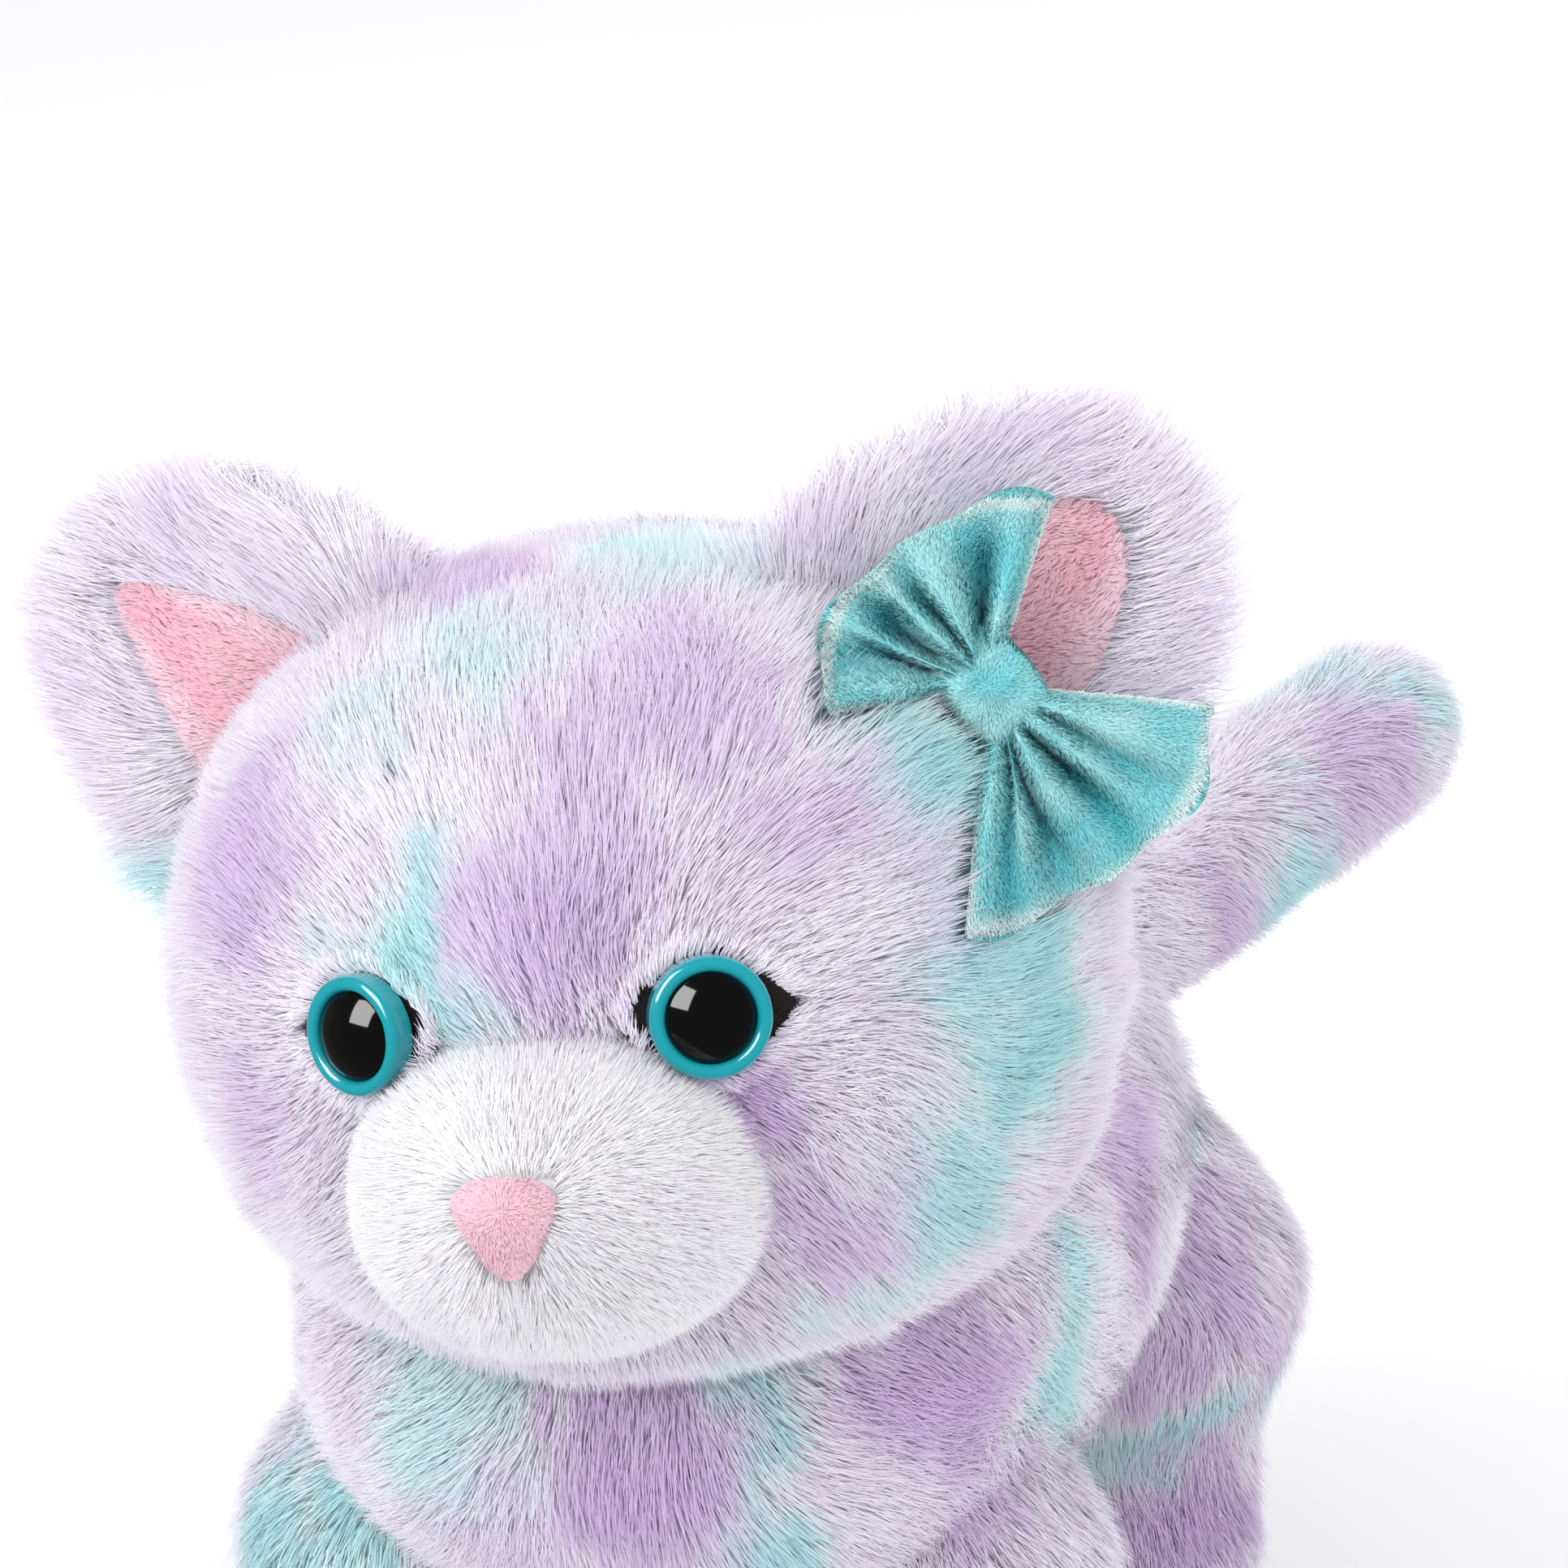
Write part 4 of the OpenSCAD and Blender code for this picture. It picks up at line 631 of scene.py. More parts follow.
def tieDye(p):
    weights = np.zeros((len(p), 3))
    q = p + drift(p, 31, *dyeEdge["warp"]) + drift(p * dyeEdge["stretch"], 57, *dyeEdge["streak"])
    outer, fade = dyeEdge["soft"]
    for axis, kind in enumerate(("aqua", "purple")):
        for x, y, z, radius, strength in patches[kind]:
            d = np.linalg.norm(q - [x, y, z], axis=1) / radius
            weights[:, axis] = np.maximum(weights[:, axis], strength * ease((outer - d) / fade))
        blotch = noise(p + 200 * (axis + 1), 30) * 0.7 + noise(p + 90 * (axis + 1), 12) * 0.3
        unseen = ease((p[:, 1] + 60) / 50) * ease((45 - p[:, 0]) / 30)  # the far side
        weights[:, axis] = np.clip(np.maximum(weights[:, axis], (blotch - 0.5) * 3 * unseen), 0, 1)
    return weights


dyeColours = (("d4f1f6", "aee4ea"), ("e8dcf2", "d6bae4"))  # pale and full aqua, then purple
velvetEdgesHighlightsAndShade = (("c2f1f2", "f0fdfc"), ("5ccad3", "34afbd"))  # pale: the cut edges' own pile, random tone and painted highlight on the crests; then painted shade in the folds
# the number after the colours sets how dark the roots' painted shade is
furMaterial = furPaint("tie_dye_fur", ("f4eff9", "ebe3f4"), dyeColours, 0.95)
whiteMaterial = furPaint("white_plush", ("fcfbfe", "f7f5fb"), (), 0.95)
pinkMaterial = furPaint("pink_plush", ("ffc3d4", "fdafc8"), (("ffd6e3", "ffe6ef"),), 0.9, 0.16)
feltMaterial = furPaint("dark_felt", ("2a2022", "181213"), (), 0.8)
velvetMaterial = furPaint("turquoise_velvet", ("8ce2e7", "7cd8df"), velvetEdgesHighlightsAndShade, 0.93)
print("materials made")


# Bow: two pleated fans of velvet about a knot. A pleat has its middle, width, depth and how far it closes
fans = {
    "bow_loop_lower": {
        "turn": 0, "spread": (-44, 46), "reach": (34.5, 33.5), "height": (3.0, 6.6, 3.4),
        "ripple": (0.6, 2.6), "pleats": (
            (0.13, 0.05, 0.85, 0.2), (0.28, 0.05, 0.8, 0.5), (0.51, 0.06, 1.0, 0.4), (0.77, 0.06, 0.6, 0.6)),
    },
    "bow_loop_upper": {
        "turn": 180, "spread": (-58, 58), "reach": (28.0, 23.5), "height": (4.0, 9.6, 7.4),
        "ripple": (2.2, 2.2), "pleats": (
            (0.2, 0.085, 1.0, 0.9), (0.45, 0.045, 0.7, 0.5), (0.66, 0.07, 1.0, 0.8), (0.86, 0.06, 0.95, 0.3)),
    },
}
fanMesh = {"rows": 46, "cols": 120, "root": 0.1}
velvet = {"thick": 2.2, "hollow": 4, "crumple": (1.6, 7), "clear": (3.0, 2.5), "step": 0.6, "steps": 50}
velvetPile = {"length": 1.1, "density": 15, "width": 0.2, "lift": 58, "clump": 0.25, "swirl": 6}
fringe = {"length": 2.6, "density": 34, "width": 0.2, "lift": 58, "jitter": 0.6, "clump": 0.3}
knot = {"size": (17, 9, 12.5), "full": 3.6, "ahead": 3.5}


def earTaper(s, power, least=0.0):
    return np.maximum(1 - s ** 2.4, least) ** power


def earBend(x):
    return -ear["bend"] * (2 * x / ear["width"]) ** 2


def earInside(p, side, grow=0.0):
    q = ears[side].back(p)
    s = np.clip(q[:, 2] / ear["length"], 0, 1)
    half = np.maximum(ear["width"] / 2 * earTaper(s, 0.55, 1e-4) + grow, 0.1)
    thick = np.maximum(ear["thick"] / 2 * earTaper(s, 0.5, 1e-4) + grow, 0.1)
    inside = np.hypot(q[:, 0] / half, (q[:, 1] - earBend(q[:, 0])) / thick)
    return np.where((q[:, 2] > ear["length"]) | (q[:, 2] < -12), outside, inside)


def smoothed(grid, rounds):
    for _ in range(rounds):
        wide = np.pad(grid, 1, mode="edge")
        grid = (wide[:-2, 1:-1] + wide[2:, 1:-1] + wide[1:-1, :-2] + wide[1:-1, 2:] + 2 * grid) / 6
    return grid


def fanShape(fan):
    out, side = np.linspace(fanMesh["root"], 1, fanMesh["rows"]), np.linspace(0, 1, fanMesh["cols"])
    u, v = np.meshgrid(out, side, indexing="ij")
    angle = np.radians(fan["turn"] + lerp(*fan["spread"], v))
    ripple, waves = fan["ripple"]
    scallop = 1 + 0.025 * np.sin(v * 19) + 0.02 * (1 + ripple) * np.sin(v * 9 + 1)
    r = u * lerp(*fan["reach"], v) * scallop
    flat = np.stack([r * np.cos(angle), 0 * r, r * np.sin(angle)], axis=-1).reshape(-1, 3)
    lift = np.zeros(len(flat))
    offHead, offEar = velvet["clear"]
    for _ in range(velvet["steps"]):  # off the head and the ear
        p = bowPlace.out(flat - lift[:, None] * [0, 1, 0])
        lift += velvet["step"] * ((headLevel(p, offHead) < 1) | (earInside(p, 1, offEar) < 1))
    lift = smoothed(lift.reshape(u.shape), 12)
    fold = np.zeros(u.shape)
    for middle, width, deep, close in fan["pleats"]:
        line = lerp(0.5 + 0.8 * (middle - 0.5), middle, u) + 0.03 * np.sin(5 * u + 9 * middle)
        depth = deep * (1 - close * ease((u - 0.6) / 0.4))
        fold = np.maximum(fold, depth * np.exp(-((v - line) / (width * (0.7 + 0.6 * u))) ** 2))
    low, mid, high = fan["height"]
    crest = low + (mid - low) * ease(u / 0.5) - (mid - high) * ease((u - 0.5) / 0.5)
    edge = 1 - np.abs(2 * v - 1) ** 7
    amount, scale = velvet["crumple"]
    crumple = amount * (noise(flat + 40, scale) - 0.5).reshape(u.shape) * ease((u - 0.2) / 0.3)
    wave = ripple * u * u * (1 + np.sin(2 * np.pi * waves * v + 0.6)) / 2
    front = velvet["thick"] + np.maximum(crest * smoothed(1 - fold, 2) * edge + crumple, 0) + wave
    back = np.maximum(front - velvet["thick"] - velvet["hollow"] * ease((1 - u) / 0.3), 0)
    crest = (front - velvet["thick"]) / mid
    return dict(flat=flat.reshape(u.shape + (3,)), lift=lift, front=front, back=back, fold=fold, crest=crest)


def onFans(q):  # for each fan: the points that it covers, their row and column, and its values there
    for name, fan in fans.items():
        angle = (np.degrees(np.arctan2(q[:, 2], q[:, 0])) - fan["turn"] + 180) % 360 - 180
        v = (angle - fan["spread"][0]) / (fan["spread"][1] - fan["spread"][0])
        u = np.hypot(q[:, 0], q[:, 2]) / lerp(*fan["reach"], np.clip(v, 0, 1))
        root, lastRow, lastCol = fanMesh["root"], fanMesh["rows"] - 1, fanMesh["cols"] - 1
        row = np.clip(np.rint((u - root) / (1 - root) * lastRow), 0, lastRow).astype(int)
        col = np.clip(np.rint(v * lastCol), 0, lastCol).astype(int)
        here = {key: grid[row, col] for key, grid in fanShapes[name].items()}
        yield (u < 1.02) & (v > -0.01) & (v < 1.01), row, col, here


fanShapes = {name: fanShape(fan) for name, fan in fans.items()}


def inBow(p):
    q = bowPlace.back(p)
    hit = level(q + [0, knot["ahead"], 0], knot["size"], knot["full"]) < 1.05
    for over, _, _, here in onFans(q):
        height = -q[:, 1] - here["lift"]
        hit |= over & (height > here["back"] - 0.6) & (height < here["front"] + 1.5)
    return hit


def fanSkin(shape):  # the whole fan, and its rim alone
    rows, cols = shape["lift"].shape
    ahead = np.array([0, -1, 0])
    front, back = (
        bowPlace.out((shape["flat"] + ahead * (shape["lift"] + shape[key])[..., None]).reshape(-1, 3))
        for key in ("front", "back"))
    index = np.arange(rows * cols).reshape(rows, cols)
    tiles = np.stack([index[:-1, :-1], index[1:, :-1], index[1:, 1:], index[:-1, 1:]], axis=-1).reshape(-1, 4)
    u, v = np.meshgrid(np.linspace(0, 1, rows), np.linspace(0, 1, cols), indexing="ij")
    frontUv = np.stack([u * 0.47, v], axis=-1).reshape(-1, 2)[tiles]
    rim = np.concatenate([index[:, 0], index[-1, 1:], index[-2::-1, -1], index[0, -2::-1]])
    ring = np.stack([rim[:-1], rim[:-1] + rows * cols, rim[1:] + rows * cols, rim[1:]], axis=1)
    step = np.arange(len(rim)) / (len(rim) - 1)
    low, high = 0.485, 0.515
    rimUv = corners((low, step[:-1]), (high, step[:-1]), (high, step[1:]), (low, step[1:]))
    quads = np.vstack([tiles, tiles[:, ::-1] + rows * cols, ring[:, ::-1]])
    quadUv = np.vstack([frontUv, (frontUv + [0.53, 0])[:, ::-1], rimUv[:, ::-1]])
    none = {"tris": np.zeros((0, 3), int), "triUv": np.zeros((0, 3, 2))}
    skin = dict(none, verts=np.vstack([front, back]), quads=quads, quadUv=quadUv)
    if np.sum(normalsOf(skin)[:rows * cols] @ bowPlace.aim(ahead)) < 0:
        skin["quads"], skin["quadUv"] = quads[:, ::-1], quadUv[:, ::-1]
    return skin, dict(skin, quads=skin["quads"][-len(ring):], quadUv=skin["quadUv"][-len(ring):])


# the velvet's own pale cut edges, with painted highlight on the crests and painted shade in the folds
def velvetEdgesAndPaintedLight(p):
    dye = np.zeros((len(p), 3))
    for over, row, col, here in onFans(bowPlace.back(p)):
        rim = np.maximum(ease((row - 39) / 6.5), ease((np.abs(col - 59.5) - 54) / 5.5))
        # random tone plus painted highlight where the fan swells highest
        nap = 0.55 * noise(p, 5) + 0.5 * here["crest"] - 0.42
        dye[:, 0] = np.where(over, np.clip(np.maximum(rim * 0.9, nap), 0, 1), dye[:, 0])
        # painted shade in the folds of the pleats, less at the pale edges
        dye[:, 1] = np.where(over, np.clip(here["fold"] * 1.1 - 0.25, 0, 1) * (1 - rim), dye[:, 1])
    return dye


def bowFlow(p, n):
    return bowPlace.aim(bowPlace.back(p) * [1, 0, 1])


def fanFront(p, n):
    return n @ bowPlace.r[:, 1] < 0.3


for fanName in fans:
    skin, outer = fanSkin(fanShapes[fanName])
    dress(
        (fanName + "_velvet", fanName + "_pile"), skin, velvetMaterial, velvetPile, bowFlow,
        ("head", "turquoise_velvet", fanName, 0.5), velvetEdgesAndPaintedLight, keep=fanFront)
    edging = growFur(fanName + "_fringe", outer, velvetMaterial, fringe, bowFlow, dye=evenDye(1.0))
    rideOn(edging, "head", "turquoise_velvet")


def knotSkinOf():
    grid = superGrid(knot["size"], knot["full"], 40, 64)
    crease = 0.55 * np.sin(grid[..., 0] * 1.5 + 0.25 * grid[..., 2]) + 0.35 * np.sin(grid[..., 2] * 1.1 + 1)
    pinch = 1 - 0.1 * np.exp(-(grid[..., 2] / 3.0) ** 2)
    grid[..., 1] = grid[..., 1] * pinch - 0.55 * crease * (grid[..., 1] < 0)
    return closedSkin(bowPlace.out(grid - [0, knot["ahead"], 0]))


def knotToneAndPaintedShade(p):
    q = bowPlace.back(p)
    dye = np.zeros((len(p), 3))
    # random paler tone of the velvet
    dye[:, 0] = np.clip(0.8 * noise(p, 4) - 0.2, 0, 1)
    # painted shade at the knot's two ends, where the fans meet it
    dye[:, 1] = ease((np.abs(q[:, 0]) - 6) / 3) * 0.5
    return dye


dress(
    ("bow_knot_velvet", "bow_knot_pile"), knotSkinOf(), velvetMaterial, velvetPile, bowFlow,
    ("head", "turquoise_velvet", "bow_knot", 0.6), knotToneAndPaintedShade)
print("bow made")


# Head
def headFlow(p, n):  # away from the nose in front and from the back pole behind, and round the eyes
    q = headPlace.back(p)
    front, behind = unit(q - [0, -60, -10]), unit(q - [0, 62, 12])
    v = headPlace.aim(lerp(front, behind, ease((q[:, 1:2] - 4) / 22)) + [0, 0, -0.12])
    for side in sides:
        d = p - eyes[side].t
        near = np.exp(-(np.linalg.norm(d, axis=1, keepdims=True) / 17) ** 2)
        v = v * (1 - 0.5 * near) + unit(d) * 0.6 * near
    return v


def aroundEye(q, radius):
    return (np.hypot(q[:, 0], q[:, 1]) < radius) & (np.abs(q[:, 2]) < eye["deep"])


def bareFelt(p):  # where the fur leaves the felt bare
    bare = np.zeros(len(p), bool)
    for side in sides:
        q = eyes[side].back(p)
        for key, sign in (("outer", side), ("inner", -side)):
            half, tip = felt[key]
            slope = np.clip((tip - sign * q[:, 0]) / (tip - eye["ring"]), 0, 1) * (sign * q[:, 0] > 0)
            bare |= (np.abs(q[:, 1]) < half * slope) & (np.abs(q[:, 2]) < eye["deep"])
        bare |= aroundEye(q, eye["bare"])
    return bare


def nearEyes(p):
    return aroundEye(eyes[1].back(p), eye["clear"]) | aroundEye(eyes[-1].back(p), eye["clear"])


def besideBody(p, gap):  # at each turn of the head, whether the body is nearer than the gap
    place = toy.move(0, head["at"][1], 0)
    turns = range(-head["turn"], head["turn"] + 1, 10)
    return np.array([bodyLevel(place.out(place.back(p) @ turn("z", a).T), gap) < 1 for a in turns])


def headKeep(p, n):
    keep = (formLevel(muzzle, muzzlePlace, p, -1.5) > 1) & ~bareFelt(p) & ~besideBody(p, 0).all(axis=0)
    for side in sides:
        keep &= earInside(p, side, -2.0) > 1
    return keep


def headLength(p):  # shorter at the eyes, the body and the muzzle, longer on the bridge
    scale = np.ones(len(p))
    for side in sides:
        d = np.linalg.norm(eyes[side].back(p)[:, :2] * [0.85, 1], axis=1)
        scale *= np.clip(0.4 + 0.6 * (d - 10) / 14, 0.4, 1)
    for gap, share in ((9, 0.85), (5, 0.6), (1, 0.3)):
        scale[besideBody(p, gap).any(axis=0)] = share
    away = formLevel(muzzle, muzzlePlace, p)
    q = headPlace.back(p)
    front = q[:, 1] < -20
    bridge = np.exp(-(q[:, 0] / 12) ** 2 - ((q[:, 2] - 8) / 14) ** 2) * front
    return scale * np.where(front, np.clip(0.5 + (away - 1) * 2.2, 0.5, 1), 1) * (1 + 0.8 * bridge)


def insetSize(settings):
    return np.array(settings["size"], float) - 2 * settings["inset"]


headSkin = closedSkin(headPlace.out(superGrid(insetSize(head), head["full"], 90, 128)))
dress(
    ("head_skin", "head_fur"), headSkin, furMaterial, head, headFlow,
    ("head", "tie_dye_fur", "head_plush", 0.8), tieDye,
    keep=headKeep, lengthAt=headLength, avoid=lambda p: nearEyes(p) | inBow(p))
print("head made")


# Muzzle with its cleft, and nose
def muzzleShape():
    grid = superGrid(insetSize(muzzle), muzzle["full"], 60, 96)
    x, z = grid[..., 0], grid[..., 2]
    below = ease((6 - z) / 8) * ease((z + 26) / 6)
    grid[..., 1] += np.where(grid[..., 1] < 0, 2.6 * below * np.exp(-(x / 1.8) ** 2), 0)
    return closedSkin(muzzlePlace.out(grid))


def muzzleFlow(p, n):
    return muzzlePlace.aim(unit(muzzlePlace.back(p) - [0, -26, 2]) + [0, 0.2, -0.25])


def noseTaper(y):  # the nose narrows towards its lower end
    share, start, over = nose["taper"]
    return 1 - share * np.clip((start - y) / over, 0, 1)


def muzzleKeep(p, n):
    q = nosePlace.back(p)
    x, y, z = np.abs(q + [0, 0.6, 0]).T
    underNose = (x < 6.6 * noseTaper(q[:, 1])) & (y < 6.2) & (z < 6)
    return (headLevel(p, -1) > 1) & ~underNose & ~bareFelt(p)


def muzzleRim(p):  # the band beside the head, which the dyed fur covers
    q = muzzlePlace.back(p)
    return headLevel(p, lerp(*muzzle["rim"], ease((q[:, 2] - 4) / 12))) < 1


muzzleSkin = muzzleShape()
muzzleSkin = trimmed(muzzleSkin, headLevel(muzzleSkin["verts"], -4) < 1)
dress(
    ("muzzle_skin", "muzzle_fur"), muzzleSkin, whiteMaterial, muzzle, muzzleFlow,
    ("head", "white_plush", "muzzle", 0.8), keep=lambda p, n: muzzleKeep(p, n) & ~muzzleRim(p))
rimStyle = {"length": 5.5, "density": 9, "width": 0.2, "lift": 50}
muzzleEdge = growFur(
    "muzzle_edge", muzzleSkin, furMaterial, rimStyle, muzzleFlow,
    lambda p, n: muzzleKeep(p, n) & muzzleRim(p), dye=tieDye)
rideOn(muzzleEdge, "head", "tie_dye_fur")


def noseSkinOf():
    rows, cols = 16, 48
    x, y = np.cos(circle(cols)), np.sin(circle(cols))
    down = np.where(y > 0, nose["above"], nose["below"]) * rounded(y, 2.6)
    rim = np.stack([nose["half"] * noseTaper(down) * rounded(x, 3.0), down], axis=1)
    rings = []
    for k in range(1, rows + 1):
        s = k / rows
        z = nose["thick"] * (1 - s ** 2.6) ** 0.6 - 1.6 * s ** 5
        rings.append(np.column_stack([rim * s ** 0.9, np.full(cols, z)]))
    ends = np.array([[0, 0, nose["thick"]], [0, 0, -2.0]])
    return gridSkin(nosePlace.out(np.array(rings)), nosePlace.out(ends))


def noseFlow(p, n):
    return nosePlace.aim(nosePlace.back(p) * [1, 1, 0] + [0, -2, 0])


noseStyle = {"length": 1.0, "density": 26, "width": 0.16, "lift": 55, "clump": 0.2, "swirl": 5}
dress(
    ("nose_skin", "nose_fur"), noseSkinOf(), pinkMaterial, noseStyle, noseFlow,
    ("head", "pink_plush", "nose", 0.9), evenDye(0.45), keep=lambda p, n: nosePlace.back(p)[:, 2] > -0.6)
print("muzzle and nose made")

# Ears and their linings
earStyle = {"length": 13, "density": 6.4, "width": 0.2, "lift": 54}
liningStyle = {
    "length": 2.2, "density": 14, "width": 0.2, "lift": 50, "clump": 0.5, "clumpOf": 16, "swirl": 6,
}


def earSkin(shape, place, rows, cols):
    s = np.linspace(0, 1, rows + 1)[:-1] ** 0.85
    s = np.concatenate([s, [0.985]])
    around = circle(cols)
    inset, forward, up = shape["inset"], shape["forward"], shape["up"]
    half = ((shape["width"] / 2 - inset) * earTaper(s, 0.55))[:, None]
    deep = ((shape["thick"] / 2 - inset) * earTaper(s, 0.5))[:, None]
    x = half * np.cos(around)
    y = earBend(x) - forward - deep * np.sin(around)
    z = (s * (shape["length"] - inset) + up)[:, None]
    return tubeSkin(place, x, y, z, [[0, -forward, up], [0, -forward, up + shape["length"] - inset]])


def earSide(side, sideName):
    place = ears[side]

    def onLining(p):
        return place.back(p) - [0, 0, lining["up"]]

    def lined(p, grow):
        q = onLining(p)
        half = lining["width"] / 2 * earTaper(np.clip(q[:, 2] / lining["length"], 0, 1), 0.55) + grow
        return (np.abs(q[:, 0]) < half) & (q[:, 2] > -4) & (q[:, 2] < lining["length"] + grow)

    def flow(p, n):  # out over the front, back across the rim and down behind
        facing = -(n @ place.r)[:, 1:2]
        spread = unit(place.back(p) * [1, 0, 1] - [0, 0, 14]) + [0.35 * side, 0, 0.5]
        return place.aim(spread * facing + (1 - np.abs(facing)) * [0, 1.5, 0])

    def keep(p, n):
        inner = (n @ place.r)[:, 1] < -0.2
        return (headLevel(p, -1.5) > 1) & ~(inner & lined(p, -1.5))

    def acrossLining(p):  # 1 where the fur comes over the lining's edge
        q = onLining(p)
        taper = np.clip(1 - q[:, 2] / lining["length"], 1e-6, 1) ** lining["bare"][side]
        return np.abs(q[:, 0]) / (20 * taper)

    def liningDye(p):
        rim = ease((acrossLining(p) - 0.35) / 0.6)
        return np.stack([0.3 + 0.45 * rim, 0 * rim, 0 * rim], axis=1)

    def front(p, n):
        return ((n @ place.r)[:, 1] < 0) & (headLevel(p, 0) > 1)
    skin = earSkin(ear, place, 44, 64)
    skin = trimmed(skin, headLevel(skin["verts"], -6) < 1)
    dress(
        ("ear_skin_" + sideName, "ear_fur_" + sideName), skin, furMaterial, earStyle, flow,
        ("head", "tie_dye_fur", "ear_" + sideName, 0.7), tieDye, keep=keep, avoid=inBow)
    liningSkin = earSkin(lining, place, 26, 48)
    dress(
        ("lining_skin_" + sideName, "lining_fur_" + sideName), liningSkin, pinkMaterial, liningStyle, flow,
        ("head", "pink_plush", "ear_lining_" + sideName, 0.9), liningDye,
        keep=lambda p, n: front(p, n) & (acrossLining(p) < 1), avoid=inBow)
    edging = growFur(
        "lining_edge_" + sideName, liningSkin, furMaterial, dict(earStyle, length=6), flow,
        lambda p, n: front(p, n) & ~(acrossLining(p) < 1), dye=tieDye, avoid=inBow)
    rideOn(edging, "head", "tie_dye_fur")


earSide(1, "left")
earSide(-1, "right")
print("ears made")

# Felt of the eyes
fuzz = {"length": 1.2, "density": 10, "width": 0.16, "lift": 40, "jitter": 0.8, "clump": 0.2}
feltEdge = {"length": 4.6, "density": 12, "width": 0.2, "lift": 46}


def feltRim(cols):  # two arcs that meet at the corners
    a, b = felt["length"] / 2, felt["height"] / 2
    r = (a * a + b * b) / (2 * b)
    t = circle(cols)
    sag = (r - b) * np.abs(np.sin(t))
    out = np.sqrt(sag ** 2 + r * r - (r - b) ** 2) - sag
    return np.stack([out * np.cos(t), out * np.sin(t)], axis=1)


def eyeSide(side, sideName):
    place = eyes[side]
    rim = feltRim(72)

    def onHead(xy, lift):
        d = unit(headPlace.back(place.out(np.column_stack([xy, np.zeros(len(xy))]))))
        return headPlace.out(d * (reach(np.array(head["size"], float), head["full"], d) + lift)[:, None])
    rings = [onHead(rim * s, 1.0) for s in np.linspace(0.06, 0.97, 14)]
    rings += [onHead(rim, 0.8), onHead(rim, 0.2), onHead(rim * 0.7, 0.1), onHead(rim * 0.3, 0.1)]
    middle = np.zeros((1, 2))
    skin = gridSkin(np.array(rings), np.vstack([onHead(middle, 1.0), onHead(middle, 0.1)]))
    patch = dress(
        ("felt_" + sideName, "felt_fuzz_" + sideName), skin, feltMaterial, fuzz, lambda p, n: p - place.t,
        ("head", "dark_felt", "eye_felt_" + sideName),
        keep=lambda p, n: (headLevel(p, 0.6) > 1) & bareFelt(p))
    edging = growFur(
        "felt_edge_" + sideName, skin, furMaterial, feltEdge, headFlow,
        lambda p, n: (headLevel(p, 0.3) > 1) & ~bareFelt(p), dye=tieDye, avoid=nearEyes)
    rideOn(edging, "head", "tie_dye_fur")


eyeSide(1, "left")
eyeSide(-1, "right")
print("eyes made")


# Body, with the head's dish, the tail's groove and the battery door's window
def overDoor(q, margin):
    x, y = doorWay["half"]
    wide = (np.abs(q[:, 0]) < x + margin) & (np.abs(q[:, 1] + doorWay["back"]) < y + margin)
    return wide & (q[:, 2] < doorWay["high"])


def inDoorWay(p):
    q = toy.back(p)
    return overDoor(q, 1) & (q[:, 2] > doorWay["low"])


def bodySkinOf():
    rows, cols = 120, 144
    t = np.linspace(0, 1, rows + 2)[1:-1][:, None]
    w, h = bodyHalf(t, -body["inset"])
    half = body["length"] / 2 - body["inset"]
    around = circle(cols)
    x = w * rounded(np.cos(around), body["full"])
    z = body["z"] + h * rounded(np.sin(around), body["full"])
    y = -half * np.cos(np.pi * t)
    skin = tubeSkin(toy, x, y, z, [[0, -half, body["z"]], [0, half, body["z"]]])
    v = skin["verts"]
    q = headPlace.back(v)
    inside = level(q, dishSize, head["full"])
    pushed = headPlace.out(q / np.maximum(inside, 0.05)[:, None])
    q = pivotPlace.back(np.where((inside < 1)[:, None], pushed, v))
    ring = np.hypot(q[:, 0], q[:, 1])
    tube = np.stack([ring - groove["ring"], q[:, 2] - groove["z"]], axis=1)
    deep = np.linalg.norm(tube, axis=1)
    push = np.where((deep < groove["skin"]) & (q[:, 1] > 0), groove["skin"] / np.maximum(deep, 0.1), 1.0)
    wide = (groove["ring"] + tube[:, 0] * push) / np.maximum(ring, 0.1)
    q = np.column_stack([q[:, 0] * wide, q[:, 1] * wide, groove["z"] + tube[:, 1] * push])
    skin["verts"] = pivotPlace.out(q)
    return trimmed(skin, overDoor(toy.back(skin["verts"]), 0))


def bodyFlow(p, n):
    q = toy.back(p)
    front = ease((-q[:, 1] - 40) / 50)[:, None]
    down = lerp(np.array([0, 0.3, -0.9]), np.array([0, -0.1, -1.0]), front)
    return down + [0.04, 0, 0] * q[:, :1]


def inGroove(p):
    q = pivotPlace.back(p)
    tube = np.hypot(np.hypot(q[:, 0], q[:, 1]) - groove["ring"], q[:, 2] - groove["z"])
    return (tube < groove["room"]) & (q[:, 1] > 0)


def inHeadRoom(p, gap):
    return level(headPlace.back(p), np.array(headRoom) + 2 * gap, head["full"]) < 1


def bodyLength(p):  # shorter beside the head
    away = level(headPlace.back(p), headRoom, head["full"]) * 65 - 65
    return np.clip(0.5 + (away - 3) / 16, 0.5, 1)


def bodyKeep(p, n):
    keep = ~inHeadRoom(p, 1.5) & ~inGroove(p)
    for leg in legs.values():
        keep &= legLevel(p, leg, -2) > 1
    return keep


